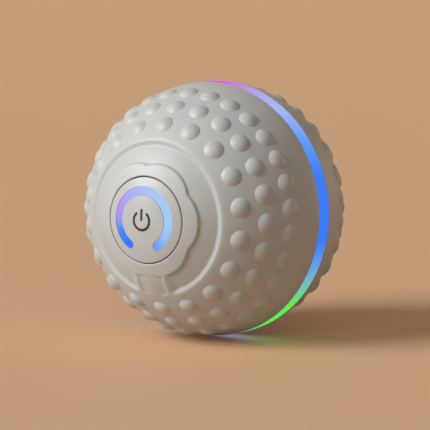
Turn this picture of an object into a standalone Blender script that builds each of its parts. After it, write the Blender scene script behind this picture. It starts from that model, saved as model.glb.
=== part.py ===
"""Interactive dog ball: a shell with a studded rubber skin that a weighted drive core rolls along.

The ball's centre is the origin, +Z is up, and the axle that the core hangs on runs along Y.
The power button is at the -Y pole, the charging port at the +Y pole, and the light ring lies
in the XZ plane. Lengths are in metres and angles in radians.
"""

import math

import bmesh
import bpy
from mathutils import Matrix, Vector

# Ball and its skin
BALL_RADIUS = 0.0385
COVER_WALL = 0.0020
LINER_WALL = 0.0018
LINER_GAP = 0.00045
PIECE_GAP = 0.0003
RUNNING_GAP = 0.00015
OVERRUN = 0.0020
BALL_STEPS = 32
CORE_STEPS = 24
SMALL_STEPS = 10
MERGE_DISTANCE = 0.000001

# Light ring
LIGHT_BAND_HALF_WIDTH = 0.00266
RING_SEAM = 0.00015
RING_FLANGE_HALF_WIDTH = 0.0046
RING_FLANGE_WALL = 0.0015
RING_STEPS = 48

# Studs in three rows on each half: angle from the pole and number of studs round the row
STUD_ROWS = ((math.radians(44.7), 18), (math.radians(56.1), 24), (math.radians(67.9), 30))
STUD_TURN = math.radians(0.65)
STUD_RADIUS = 0.00294
STUD_HEIGHT = 0.00095
STUD_ROOT = 0.0007
STUD_FLARE = 0.0007
STUD_SHOULDER_SHARE = 0.75
STUD_SIDES = 6

# C-shaped recess, scalloped island and tab round each pole
RECESS_EDGE_ANGLE = math.radians(36.15)
RECESS_LEDGE_ANGLE = math.radians(34.6)
RECESS_DEPTH = 0.00082
ISLAND_NOTCH_RADIUS = 0.01535
ISLAND_LOBE_RISE = 0.0015
ISLAND_LOBES = 6
ISLAND_LOBE_POINTS = 8
ISLAND_SHARPNESS = 0.7
TAB_WIDTH = 0.0081

# Button panel at the front pole and cap at the rear pole
PANEL_RADIUS = 0.01244
PANEL_SEAM = 0.0004
PANEL_SINK = 0.00005
PANEL_SKIRT_DEPTH = 0.0036
PANEL_SKIRT_WALL = 0.0015
PANEL_ROOF_DEPTH = 0.0032
PANEL_STEM_RADIUS = 0.0022
PANEL_TRAVEL = 0.0005
PANEL_STEPS = 24
ARC_MID_RADIUS = 0.00856
ARC_WIDTH = 0.0025
ARC_HALF_ANGLE = math.radians(146.3)
ARC_STEPS = 18
ARC_GUIDE_DEPTH = 0.0045
INLAY_GAP = 0.0001
SYMBOL_RADIUS = 0.0027
SYMBOL_STROKE = 0.0006
SYMBOL_GAP_ANGLE = math.radians(42.0)
SYMBOL_BAR_TOP = 0.0031
SYMBOL_BAR_FOOT = 0.00036
SYMBOL_SINK = 0.00015
SYMBOL_DEPTH = 0.0008
SYMBOL_STEPS = 12

# Front journal and its bearing
FRONT_JOURNAL_WALL = 0.00166
JOURNAL_COVER_GAP = 0.0006
BEARING_WALL = 0.0016
BEARING_LENGTH = 0.0040
LIP_CLEARANCE = 0.00045
LIP_DEPTH = 0.0017
COLLAR_WALL = 0.0020

# Rear journal, cap and charging port
REAR_JOURNAL_WALL = 0.0020
REAR_JOURNAL_DEPTH = 0.0055
REAR_CAP_RIM = 0.0011
REAR_CAP_SPIGOT_WALL = 0.0016
REAR_CAP_SPIGOT_DEPTH = 0.0040
SOCKET_SPIGOT_GAP = 0.00103
PORT_POCKET_WIDTH = 0.0130
PORT_POCKET_HEIGHT = 0.0074
PORT_POCKET_DEPTH = 0.0017
SOCKET_WIDTH = 0.00894
SOCKET_HEIGHT = 0.00326
SOCKET_WALL = 0.0003
SOCKET_LENGTH = 0.0090
SOCKET_MOUTH_GAP = 0.0009
TONGUE_LENGTH = 0.0055
TONGUE_CLEARANCE = 0.00015
SLOT_STEPS = 6

# Core case: its clearance in the liners, and its two discs' depths under the skin
CASE_CLEARANCE = 0.00375
CASE_WALL = 0.0015
CASE_STRAIGHT = 0.0080
CASE_SEAM = 0.0003
FRONT_CONE_WIDTH = 0.0065
FRONT_DISC_DEPTH = 0.0145
FRONT_DISC_DROP = 0.0015
REAR_CONE_WIDTH = 0.0030
REAR_DISC_DEPTH = 0.0245

# Screws that close the core case, in long bosses, placed from the front disc's edge
UPPER_SCREW_INSET = 0.0070
UPPER_SCREW_Z = 0.0100
LOWER_SCREW_INSET = 0.0035
LOWER_SCREW_Z = -0.0017
BOSS_RADIUS = 0.0024
SCREW_RADIUS = 0.0010
SCREW_HEAD_RADIUS = 0.0020
SCREW_HEAD_HEIGHT = 0.0013
SCREW_BITE = 0.0068
BOSS_STEPS = 8

# Gear train in the space behind the rear disc
GEAR_PRESSURE_ANGLE = math.radians(25.0)
GEAR_BACKLASH = 0.00022
ADDENDUM_SHARE = 0.8
DEDENDUM_SHARE = 1.08
DRIVE_MODULE = 0.0012
WHEEL_JOURNAL_GAP = 0.00032
RING_TEETH = 36
DRIVE_PINION_TEETH = 9
DRIVE_WHEEL_TEETH = 20
IDLER_PINION_TEETH = 10
IDLER_WHEEL_TEETH = 24
MOTOR_PINION_TEETH = 10
IDLER_BEARING_FROM_DRIVE = math.radians(0.0)
MOTOR_BEARING_FROM_IDLER = math.radians(40.0)
WHEEL_WIDTH = 0.0012
PINION_SINK = 0.0002
DRIVE_PINION_WIDTH = 0.0033
GEAR_FLOAT = 0.0003
AXLE_RADIUS = 0.0010
AXLE_SEAT_DEPTH = 0.0012
RING_GEAR_RIM_WALL = 0.002104
RING_GEAR_PLATE_WALL = 0.0014
RING_GEAR_PLATE_BORE = 0.0120
RING_SCREW_CIRCLE = 0.0160
RING_SCREW_COUNT = 3
RING_BOSS_RADIUS = 0.0022

# Motor, weight, battery and boards
MOTOR_RADIUS = 0.0060
MOTOR_CELL_GAP = 0.0007
MOTOR_COLLAR_WALL = 0.0012
MOTOR_COLLAR_DEPTH = 0.0050
MOTOR_SHAFT_RADIUS = 0.00075
MOTOR_SHAFT_DEPTH = 0.0020
WEIGHT_DEPTH = 0.0110
WEIGHT_LENGTH = 0.0148
WEIGHT_STEPS = 16
CELL_RADIUS = 0.0080
CELL_END_GAP = 0.0011
CELL_FRONT_GAP = 0.0002
CELL_CAP_RADIUS = 0.0032
CELL_CAP_HEIGHT = 0.0010
HOLDER_LENGTH = 0.0240
HOLDER_FLOOR = 0.0015
HOLDER_WEIGHT_GAP = 0.0005
HOLDER_TOP_DROP = 0.0020
BOARD_THICKNESS = 0.0012
MAIN_BOARD_EDGE_GAP = 0.0030
MAIN_BOARD_FOOT = 0.0010
MAIN_BOARD_STANDOFF = 0.0033
CHIP_SIZE = 0.0070
CHIP_HEIGHT = 0.0012
CHIP_Z = 0.0150
SENSOR_RADIUS = 0.0022
SENSOR_HEIGHT = 0.0060
SENSOR_X = -0.0085
SENSOR_Z = 0.0170
CONNECTOR_SIZE = 0.0052
CONNECTOR_HEIGHT = 0.0034
CONNECTOR_X = 0.0070
CONNECTOR_Z = 0.0060
BUTTON_BOARD_EDGE_GAP = 0.00044
BUTTON_BOARD_DEPTH = 0.0108
SWITCH_SIZE = 0.0056
SWITCH_HEIGHT = 0.0030
SWITCH_WELL_RADIUS = 0.0014
SWITCH_WELL_DEPTH = 0.0020
PLUNGER_RADIUS = 0.0010
ARC_LED_COUNT = 7
ARC_LED_SIZE = 0.0020
ARC_LED_HEIGHT = 0.0008
STRIP_THICKNESS = 0.0006
STRIP_HALF_WIDTH = 0.0030
STRIP_LED_COUNT = 12
STRIP_LED_SIZE = 0.0034
STRIP_LED_HEIGHT = 0.0014
PORT_BOARD_EDGE_GAP = 0.0009
PORT_BOARD_LENGTH = 0.0085
WIRE_RADIUS = 0.0005
WIRE_STEPS = 1

# Worked out from the sizes above
COVER_INNER = BALL_RADIUS - COVER_WALL
LINER_RADIUS = COVER_INNER - LINER_GAP
LINER_INNER = LINER_RADIUS - LINER_WALL
PANEL_DOME = BALL_RADIUS - PANEL_SINK
COVER_HOLE = PANEL_RADIUS + PANEL_SEAM
RING_HALF_WIDTH = LIGHT_BAND_HALF_WIDTH - RING_SEAM
COVER_RIM = LIGHT_BAND_HALF_WIDTH + RING_SEAM
LINER_RIM = RING_FLANGE_HALF_WIDTH + PIECE_GAP
FRONT_JOURNAL_BORE = PANEL_RADIUS + PIECE_GAP
FRONT_JOURNAL_RADIUS = FRONT_JOURNAL_BORE + FRONT_JOURNAL_WALL
REAR_SPIGOT_BORE = SOCKET_WIDTH / 2 + SOCKET_SPIGOT_GAP
REAR_SPIGOT_RADIUS = REAR_SPIGOT_BORE + REAR_CAP_SPIGOT_WALL
REAR_JOURNAL_BORE = REAR_SPIGOT_RADIUS + PIECE_GAP
REAR_JOURNAL_RADIUS = REAR_JOURNAL_BORE + REAR_JOURNAL_WALL
REAR_JOURNAL_END = BALL_RADIUS - REAR_JOURNAL_DEPTH
PORT_BOARD_WIDTH = 2 * (REAR_JOURNAL_BORE - PORT_BOARD_EDGE_GAP)
CASE_RADIUS = LINER_INNER - CASE_CLEARANCE
CASE_INNER = CASE_RADIUS - CASE_WALL
FRONT_DISC_RADIUS = CASE_RADIUS - FRONT_CONE_WIDTH
FRONT_DISC_TOP = BALL_RADIUS - FRONT_DISC_DEPTH
FRONT_DISC_RIM = FRONT_DISC_TOP - FRONT_DISC_DROP
REAR_DISC_RADIUS = CASE_RADIUS - REAR_CONE_WIDTH
REAR_DISC_TOP = BALL_RADIUS - REAR_DISC_DEPTH
REAR_DISC_INNER = REAR_DISC_TOP - CASE_WALL
FRONT_PLATE_INNER = FRONT_DISC_TOP - CASE_WALL
UPPER_SCREW_X = FRONT_DISC_RADIUS - UPPER_SCREW_INSET
LOWER_SCREW_X = FRONT_DISC_RADIUS - LOWER_SCREW_INSET
CASE_SCREW_PLACES = (
    (UPPER_SCREW_X, UPPER_SCREW_Z),
    (-UPPER_SCREW_X, UPPER_SCREW_Z),
    (LOWER_SCREW_X, LOWER_SCREW_Z),
    (-LOWER_SCREW_X, LOWER_SCREW_Z),
)
WEIGHT_TOP = CASE_INNER - WEIGHT_DEPTH
CELL_LENGTH = 2 * (LOWER_SCREW_X - BOSS_RADIUS - CELL_END_GAP)
HOLDER_FRONT = FRONT_DISC_RIM - CASE_WALL - PIECE_GAP
CELL_Y = -(HOLDER_FRONT - CELL_FRONT_GAP - CELL_RADIUS)
CELL_Z = -(WEIGHT_TOP - HOLDER_WEIGHT_GAP - HOLDER_FLOOR - CELL_RADIUS)
RING_GEAR_RIM_RADIUS = DRIVE_MODULE * (RING_TEETH / 2 + DEDENDUM_SHARE) + RING_GEAR_RIM_WALL
MAIN_BOARD_RADIUS = CASE_INNER - MAIN_BOARD_EDGE_GAP
BUTTON_BOARD_RADIUS = FRONT_JOURNAL_BORE - BUTTON_BOARD_EDGE_GAP
BUTTON_BOARD_TOP = BALL_RADIUS - BUTTON_BOARD_DEPTH


def on_sphere(radius, from_axis):
    """Height of a sphere's surface at a distance from its axis."""
    return math.sqrt(radius * radius - from_axis * from_axis)


FRONT_JOURNAL_END = on_sphere(COVER_INNER, FRONT_JOURNAL_RADIUS) - JOURNAL_COVER_GAP

# Each half is modelled with its pole along its own +Z and up along its own +Y
FRONT = Matrix.Rotation(math.pi / 2, 4, "X")
REAR = Matrix.Rotation(math.pi, 4, "Z") @ FRONT
ALONG_AXLE = Matrix.Rotation(-math.pi / 2, 4, "X")
ALONG_WIDTH = Matrix.Rotation(math.pi / 2, 4, "Y")

for leftover in list(bpy.data.objects):
    bpy.data.objects.remove(leftover, do_unlink=True)

parts = bpy.data.collections.new("interactive_dog_ball")
cutters = bpy.data.collections.new("cutters")
bpy.context.scene.collection.children.link(parts)
bpy.context.scene.collection.children.link(cutters)


def material(name, colour, roughness, metallic=0.0):
    made = bpy.data.materials.new(name)
    made.use_nodes = True
    shader = made.node_tree.nodes["Principled BSDF"]
    shader.inputs["Base Color"].default_value = (*colour, 1.0)
    shader.inputs["Roughness"].default_value = roughness
    shader.inputs["Metallic"].default_value = metallic
    return made


def add_object(name, mesh, finish, place=None):
    """A part with a finish, or a cutter where the finish is None."""
    made = bpy.data.objects.new(name, mesh)
    if finish is None:
        cutters.objects.link(made)
        made.hide_render = True
        made.display_type = "WIRE"
    else:
        parts.objects.link(made)
        mesh.materials.append(material(name, *finish))
    if place is not None:
        made.matrix_world = place
    return made


def smooth(made, limit=math.radians(24.0)):
    made.data.shade_smooth()
    made.data.set_sharp_from_angle(angle=limit)
    return made


def turned(name, profile, steps, finish=None, place=None, closed=True):
    """Turns a profile of (distance from the axis, height) points about its own Z."""
    area = sum(
        a[0] * b[1] - b[0] * a[1] for a, b in zip(profile, profile[1:] + profile[:1])
    )
    points = profile if area < 0 else profile[::-1]
    count = len(points)
    edges = [(i, (i + 1) % count) for i in range(count if closed else count - 1)]
    mesh = bpy.data.meshes.new(name)
    mesh.from_pydata([(across, 0, up) for across, up in points], edges, [])
    made = add_object(name, mesh, finish, place)
    screw = made.modifiers.new("turn", "SCREW")
    screw.axis = "Z"
    screw.angle = 2 * math.pi
    screw.steps = steps
    screw.render_steps = steps
    screw.use_smooth_shade = True
    screw.use_merge_vertices = True
    screw.merge_threshold = MERGE_DISTANCE
    return made


def slab(name, outlines, low, high, finish=None, place=None):
    """A flat shape of one or more closed outlines, from one height to another."""
    curve = bpy.data.curves.new(name, "CURVE")
    curve.dimensions = "2D"
    curve.fill_mode = "BOTH"
    curve.extrude = (high - low) / 2
    for outline in outlines:
        spline = curve.splines.new("POLY")
        spline.points.add(len(outline) - 1)
        for point, (x, y) in zip(spline.points, outline):
            point.co = (x, y, 0, 1)
        spline.use_cyclic_u = True
    source = bpy.data.objects.new(name + "_outline", curve)
    parts.objects.link(source)
    bpy.context.view_layer.update()
    evaluated = source.evaluated_get(bpy.context.evaluated_depsgraph_get())
    mesh = bpy.data.meshes.new_from_object(evaluated)
    bpy.data.objects.remove(source, do_unlink=True)
    bpy.data.curves.remove(curve)
    work = bmesh.new()
    work.from_mesh(mesh)
    bmesh.ops.remove_doubles(work, verts=work.verts, dist=MERGE_DISTANCE)
    bmesh.ops.translate(work, verts=work.verts, vec=(0, 0, (low + high) / 2))
    bmesh.ops.recalc_face_normals(work, faces=work.faces)
    work.to_mesh(mesh)
    work.free()
    mesh.materials.clear()
    mesh.name = name
    return add_object(name, mesh, finish, place)


def block(name, low, high, finish=None, place=None):
    """A box between two corners."""
    work = bmesh.new()
    bmesh.ops.create_cube(work, size=1)
    size = Vector(high) - Vector(low)
    bmesh.ops.scale(work, verts=work.verts, vec=size)
    bmesh.ops.translate(work, verts=work.verts, vec=(Vector(low) + Vector(high)) / 2)
    mesh = bpy.data.meshes.new(name)
    work.to_mesh(mesh)
    work.free()
    return add_object(name, mesh, finish, place)


def rod(name, radius, low, high, steps=SMALL_STEPS, finish=None, place=None):
    """A solid cylinder about its own Z."""
    work = bmesh.new()
    bmesh.ops.create_cone(
        work, cap_ends=True, segments=steps, radius1=radius, radius2=radius, depth=high - low
    )
    bmesh.ops.translate(work, verts=work.verts, vec=(0, 0, (low + high) / 2))
    mesh = bpy.data.meshes.new(name)
    work.to_mesh(mesh)
    work.free()
    return add_object(name, mesh, finish, place)


def combine(made, tools, operation, solver="EXACT"):
    """Cuts a part with each tool, or joins each tool to it."""
    for tool in tools:
        step = made.modifiers.new(operation.lower(), "BOOLEAN")
        step.operation = operation
        step.solver = solver
        step.object = tool
    return made


def weld(made):
    """Closes the hairline cracks that a cut can leave."""
    step = made.modifiers.new("weld", "WELD")
    step.merge_threshold = MERGE_DISTANCE
    return made


def wire(name, points, finish):
    """A round lead through points, its ends capped."""
    curve = bpy.data.curves.new(name, "CURVE")
    curve.dimensions = "3D"
    curve.bevel_depth = WIRE_RADIUS
    curve.bevel_resolution = WIRE_STEPS
    curve.use_fill_caps = True
    spline = curve.splines.new("POLY")
    spline.points.add(len(points) - 1)
    for point, place in zip(spline.points, points):
        point.co = (*place, 1)
    made = bpy.data.objects.new(name, curve)
    parts.objects.link(made)
    curve.materials.append(material(name, *finish))
    return made


def bent_route(corners, steps=2):
    """Points along a smooth curve through hand-placed corners."""
    route = []
    padded = [corners[0]] + list(corners) + [corners[-1]]
    for a, b, c, d in zip(padded, padded[1:], padded[2:], padded[3:]):
        a, b, c, d = Vector(a), Vector(b), Vector(c), Vector(d)
        for step in range(steps):
            t = step / steps
            route.append(
                0.5
                * (
                    2 * b
                    + (c - a) * t
                    + (2 * a - 5 * b + 4 * c - d) * t**2
                    + (3 * b - a - 3 * c + d) * t**3
                )
            )
    route.append(Vector(corners[-1]))
    return route


def arc(radius, from_axis_a, from_axis_b, steps):
    """Points of a sphere's section between two distances from the axis."""
    start, end = math.asin(from_axis_a / radius), math.asin(from_axis_b / radius)
    turns = [start + (end - start) * i / steps for i in range(steps + 1)]
    return [(radius * math.sin(turn), radius * math.cos(turn)) for turn in turns]


def rim_distance(radius, height):
    """Distance from the axis at which a sphere's surface is at a height."""
    return math.sqrt(radius * radius - height * height)


def circle(radius, steps, centre=(0, 0)):
    turns = [2 * math.pi * i / steps for i in range(steps)]
    return [(centre[0] + radius * math.cos(t), centre[1] + radius * math.sin(t)) for t in turns]


def rounded_slot(width, height, steps=SLOT_STEPS):
    """An oblong outline with half-round ends."""
    end = height / 2
    reach = width / 2 - end
    outline = []
    for side in (1, -1):
        for i in range(steps + 1):
            turn = math.pi * i / steps - math.pi / 2
            outline.append((side * (reach + end * math.cos(turn)), side * end * math.sin(turn)))
    return outline


def open_ring(mid_radius, width, half_angle, steps, end_steps=4, top=True):
    """A band along a circle with round ends, left open at the bottom, or at the top."""
    half = width / 2
    up = 1 if top else -1
    turns = [-half_angle + 2 * half_angle * i / steps for i in range(steps + 1)]

    def at(radius, turn):
        return (radius * math.sin(turn), up * radius * math.cos(turn))

    outline = [at(mid_radius + half, turn) for turn in turns]
    for end_turn, sign in ((half_angle, 1), (-half_angle, -1)):
        centre = Vector(at(mid_radius, end_turn))
        outward = centre.normalized() * sign
        along = Vector(at(1, end_turn + sign * math.pi / 2))
        for i in range(1, end_steps):
            turn = math.pi * i / end_steps
            point = centre + half * (math.cos(turn) * outward + math.sin(turn) * along)
            outline.append(tuple(point))
        if sign == 1:
            outline += [at(mid_radius - half, turn) for turn in reversed(turns)]
    return outline


def scalloped_outline():
    """The island's edge: lobes that meet in soft notches, one notch at the top."""
    count = ISLAND_LOBES * ISLAND_LOBE_POINTS
    outline = []
    for i in range(count):
        turn = 2 * math.pi * i / count
        swell = abs(math.sin(turn * ISLAND_LOBES / 2)) ** ISLAND_SHARPNESS
        radius = ISLAND_NOTCH_RADIUS + ISLAND_LOBE_RISE * swell
        outline.append((radius * math.sin(turn), radius * math.cos(turn)))
    return outline


# Gears: flanks follow the involute through root, pitch and tip
def tooth_half_angle(teeth, module, radius, backlash):
    pitch = teeth * module / 2
    base = pitch * math.cos(GEAR_PRESSURE_ANGLE)

    def involute(r):
        angle = math.acos(min(1.0, base / max(r, base)))
        return math.tan(angle) - angle

    return math.pi / (2 * teeth) - backlash / (2 * pitch) + involute(pitch) - involute(radius)


def gear_outline(teeth, module, backlash, start, flank_steps, addendum, dedendum):
    """Closed outline with a tooth centred on the start angle."""
    pitch = teeth * module / 2
    root, tip = pitch - dedendum, pitch + addendum
    outline = []
    for tooth in range(teeth):
        centre = start + 2 * math.pi * tooth / teeth
        radii = [root + (tip - root) * i / flank_steps for i in range(flank_steps + 1)]
        flank = [(r, tooth_half_angle(teeth, module, r, backlash)) for r in radii]
        for r, half in flank:
            outline.append((r * math.cos(centre - half), r * math.sin(centre - half)))
        for r, half in reversed(flank):
            outline.append((r * math.cos(centre + half), r * math.sin(centre + half)))
    return outline


def outer_gear(teeth, module, start):
    return gear_outline(
        teeth, module, GEAR_BACKLASH / 2, start, 1, ADDENDUM_SHARE * module, DEDENDUM_SHARE * module
    )


def inner_gear(teeth, module, start):
    """The toothed bore of a ring gear: its spaces are an outer gear's teeth."""
    return gear_outline(
        teeth, module, -GEAR_BACKLASH / 2, start, 1, DEDENDUM_SHARE * module, ADDENDUM_SHARE * module
    )


RUBBER = ((0.60, 0.59, 0.56), 0.75)
HARD_PLASTIC = ((0.20, 0.20, 0.21), 0.5)
CASE_PLASTIC = ((0.82, 0.82, 0.80), 0.45)
CLEAR_PLASTIC = ((0.75, 0.85, 1.0), 0.3)
INK_PLASTIC = ((0.03, 0.03, 0.03), 0.5)
ACETAL = ((0.9, 0.9, 0.86), 0.4)
STEEL = ((0.62, 0.62, 0.64), 0.3, 1.0)
WEIGHT_STEEL = ((0.42, 0.43, 0.45), 0.45, 1.0)
CIRCUIT_BOARD = ((0.02, 0.22, 0.10), 0.4)
CELL_WRAP = ((0.10, 0.28, 0.62), 0.35)
CHIP_BLACK = ((0.02, 0.02, 0.02), 0.35)
RED_LEAD = ((0.6, 0.03, 0.02), 0.4)
BLACK_LEAD = ((0.02, 0.02, 0.02), 0.4)


# Rubber skins, one on each half
def studs(name, place):
    """All the studs of one half, as domes whose roots sink into the skin."""
    radius = (STUD_RADIUS**2 + STUD_HEIGHT**2) / (2 * STUD_HEIGHT)
    shoulder = STUD_RADIUS * STUD_SHOULDER_SHARE
    shoulder_height = math.sqrt(radius**2 - shoulder**2) - (radius - STUD_HEIGHT)
    levels = ((STUD_RADIUS + STUD_FLARE, -STUD_ROOT), (shoulder, shoulder_height))
    work = bmesh.new()
    for from_pole, count in STUD_ROWS:
        for i in range(count):
            turn = 2 * math.pi * i / count + STUD_TURN
            direction = Vector(
                (
                    math.sin(from_pole) * math.sin(turn),
                    math.sin(from_pole) * math.cos(turn),
                    math.cos(from_pole),
                )
            )
            stand = direction.to_track_quat("Z", "Y").to_matrix().to_4x4()
            rings = []
            for across, up in levels:
                ring = [
                    work.verts.new(stand @ Vector((x, y, BALL_RADIUS + up)))
                    for x, y in circle(across, STUD_SIDES)
                ]
                rings.append(ring)
            crown = work.verts.new(stand @ Vector((0, 0, BALL_RADIUS + STUD_HEIGHT)))
            work.faces.new(rings[0][::-1])
            for lower, upper in zip(rings, rings[1:]):
                for j in range(STUD_SIDES):
                    k = (j + 1) % STUD_SIDES
                    work.faces.new((lower[j], lower[k], upper[k], upper[j]))
            for j in range(STUD_SIDES):
                work.faces.new((rings[-1][j], rings[-1][(j + 1) % STUD_SIDES], crown))
    mesh = bpy.data.meshes.new(name)
    work.to_mesh(mesh)
    work.free()
    return add_object(name, mesh, None, place)


def grip_cover(name, place):
    """Studded skin with a C-shaped recess round a scalloped island."""
    outer_rim = rim_distance(BALL_RADIUS, COVER_RIM)
    inner_rim = rim_distance(COVER_INNER, COVER_RIM)
    profile = arc(BALL_RADIUS, COVER_HOLE, outer_rim, 6)
    profile += arc(COVER_INNER, inner_rim, COVER_HOLE, 6)
    cover = turned(name, profile, BALL_STEPS, RUBBER, place)

    floor = BALL_RADIUS - RECESS_DEPTH
    edge = BALL_RADIUS * math.sin(RECESS_EDGE_ANGLE)
    ledge = floor * math.sin(RECESS_LEDGE_ANGLE)
    above = BALL_RADIUS + OVERRUN
    cut = arc(floor, PANEL_RADIUS, ledge, 4)
    cut += arc(above, edge * above / BALL_RADIUS, PANEL_RADIUS, 4)
    cut.insert(5, (edge, BALL_RADIUS * math.cos(RECESS_EDGE_ANGLE)))
    recess = turned(name + "_recess", cut, BALL_STEPS, None, place)
    island = slab(
        name + "_island", [scalloped_outline()], 0, BALL_RADIUS + 2 * OVERRUN, None, place
    )
    tab = block(
        name + "_tab",
        (-TAB_WIDTH / 2, -edge - 2 * OVERRUN, 0),
        (TAB_WIDTH / 2, -PANEL_RADIUS, BALL_RADIUS + 2 * OVERRUN),
        None,
        place,
    )
    weld(combine(recess, (island, tab), "DIFFERENCE"))
    weld(combine(cover, (recess,), "DIFFERENCE"))
    combine(cover, (studs(name + "_studs", place),), "UNION", "MANIFOLD")
    return cover


grip_cover("front_grip_cover", FRONT)
grip_cover("rear_grip_cover", REAR)

# Light ring: a translucent band with a flange that the two liners meet
flange_shoulder = rim_distance(COVER_INNER, COVER_RIM) - PIECE_GAP
flange_edge = rim_distance(COVER_INNER, RING_FLANGE_HALF_WIDTH) - PIECE_GAP
flange_inner = flange_edge - RING_FLANGE_WALL
band_edge = rim_distance(BALL_RADIUS, RING_HALF_WIDTH)
turned(
    "light_ring",
    [
        (band_edge, RING_HALF_WIDTH),
        (BALL_RADIUS, 0),
        (band_edge, -RING_HALF_WIDTH),
        (flange_shoulder, -RING_HALF_WIDTH),
        (flange_edge, -RING_FLANGE_HALF_WIDTH),
        (flange_inner, -RING_FLANGE_HALF_WIDTH),
        (flange_inner, RING_FLANGE_HALF_WIDTH),
        (flange_edge, RING_FLANGE_HALF_WIDTH),
        (flange_shoulder, RING_HALF_WIDTH),
    ],
    RING_STEPS,
    CLEAR_PLASTIC,
    FRONT,
)


# Hard liners, each with a bearing collar at its pole
def liner(name, place, journal_radius):
    """Half shell whose collar holds the bearing against an inner lip; gives the lip's foot."""
    lip = journal_radius + LIP_CLEARANCE
    bore = journal_radius + BEARING_WALL + 2 * RUNNING_GAP
    collar = bore + COLLAR_WALL
    lip_foot = on_sphere(LINER_RADIUS, lip) - LIP_DEPTH
    collar_foot = lip_foot - BEARING_LENGTH - 2 * PIECE_GAP
    profile = arc(LINER_RADIUS, lip, rim_distance(LINER_RADIUS, LINER_RIM), 5)
    profile += arc(LINER_INNER, rim_distance(LINER_INNER, LINER_RIM), collar, 3)
    profile += [(collar, collar_foot), (bore, collar_foot), (bore, lip_foot), (lip, lip_foot)]
    turned(name, profile, CORE_STEPS, HARD_PLASTIC, place)
    return lip_foot


def bearing(name, place, journal_radius, top):
    inner = journal_radius + RUNNING_GAP
    outer = inner + BEARING_WALL
    high = top - PIECE_GAP
    low = high - BEARING_LENGTH
    return turned(
        name,
        [(outer, high), (outer, low), (inner, low), (inner, high)],
        CORE_STEPS,
        ACETAL,
        place,
    )


lip_foot = liner("front_shell", FRONT, FRONT_JOURNAL_RADIUS)
bearing("front_bearing", FRONT, FRONT_JOURNAL_RADIUS, lip_foot)
lip_foot = liner("rear_shell", REAR, REAR_JOURNAL_RADIUS)
bearing("rear_bearing", REAR, REAR_JOURNAL_RADIUS, lip_foot)
rear_shell = parts.objects["rear_shell"]

# Button panel, with its light guide and power symbol let in flush
panel_rim = on_sphere(PANEL_DOME, PANEL_RADIUS)
panel_foot = panel_rim - PANEL_SKIRT_DEPTH
panel_roof = PANEL_DOME - PANEL_ROOF_DEPTH
plunger_top = BUTTON_BOARD_TOP + PIECE_GAP + SWITCH_HEIGHT + PANEL_TRAVEL + 2 * INLAY_GAP
skirt_inner = PANEL_RADIUS - PANEL_SKIRT_WALL
panel = turned(
    "button_panel",
    arc(PANEL_DOME, 0, PANEL_RADIUS, 4)
    + [
        (PANEL_RADIUS, panel_foot),
        (skirt_inner, panel_foot),
        (skirt_inner, panel_roof),
        (PANEL_STEM_RADIUS, panel_roof),
        (PANEL_STEM_RADIUS, plunger_top),
        (0, plunger_top),
    ],
    PANEL_STEPS,
    CASE_PLASTIC,
    FRONT,
    closed=False,
)
above_panel = BALL_RADIUS + OVERRUN


def symbol_bar(stroke):
    """Upright bar with round ends, from foot to top."""
    length = SYMBOL_BAR_TOP - SYMBOL_BAR_FOOT + stroke
    middle = (SYMBOL_BAR_TOP + SYMBOL_BAR_FOOT) / 2
    return [(y, middle + x) for x, y in rounded_slot(length, stroke, 4)][::-1]


def symbol_ring(stroke):
    return open_ring(SYMBOL_RADIUS, stroke, math.pi - SYMBOL_GAP_ANGLE, SYMBOL_STEPS, 4, False)


arc_slot = slab(
    "arc_slot",
    [open_ring(ARC_MID_RADIUS, ARC_WIDTH + 2 * INLAY_GAP, ARC_HALF_ANGLE, ARC_STEPS)],
    panel_foot,
    above_panel,
    None,
    FRONT,
)
symbol_floor = PANEL_DOME - SYMBOL_DEPTH
pockets = [
    slab(name, [outline], symbol_floor - INLAY_GAP, above_panel, None, FRONT)
    for name, outline in (
        ("symbol_ring_pocket", symbol_ring(SYMBOL_STROKE + 2 * INLAY_GAP)),
        ("symbol_bar_pocket", symbol_bar(SYMBOL_STROKE + 2 * INLAY_GAP)),
    )
]
combine(panel, [arc_slot] + pockets, "DIFFERENCE")


def dome(name, radius):
    """The space under the panel's curved face."""
    profile = arc(radius, 0, PANEL_RADIUS, 4) + [(PANEL_RADIUS, panel_foot), (0, panel_foot)]
    return turned(name, profile, PANEL_STEPS, None, FRONT, closed=False)


guide_top = dome("guide_dome", PANEL_DOME)
guide_foot = panel_rim - ARC_GUIDE_DEPTH + ARC_WIDTH / 2
guide = slab(
    "arc_light_guide",
    [open_ring(ARC_MID_RADIUS, ARC_WIDTH, ARC_HALF_ANGLE, ARC_STEPS)],
    guide_foot,
    above_panel,
    CLEAR_PLASTIC,
    FRONT,
)
combine(guide, (guide_top,), "INTERSECT")
symbol_top = dome("symbol_dome", PANEL_DOME - SYMBOL_SINK)
for name, outline in (
    ("power_symbol_ring", symbol_ring(SYMBOL_STROKE)),
    ("power_symbol_bar", symbol_bar(SYMBOL_STROKE)),
):
    inlay = slab(name, [outline], symbol_floor, above_panel, INK_PLASTIC, FRONT)
    combine(inlay, (symbol_top,), "INTERSECT")

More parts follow.
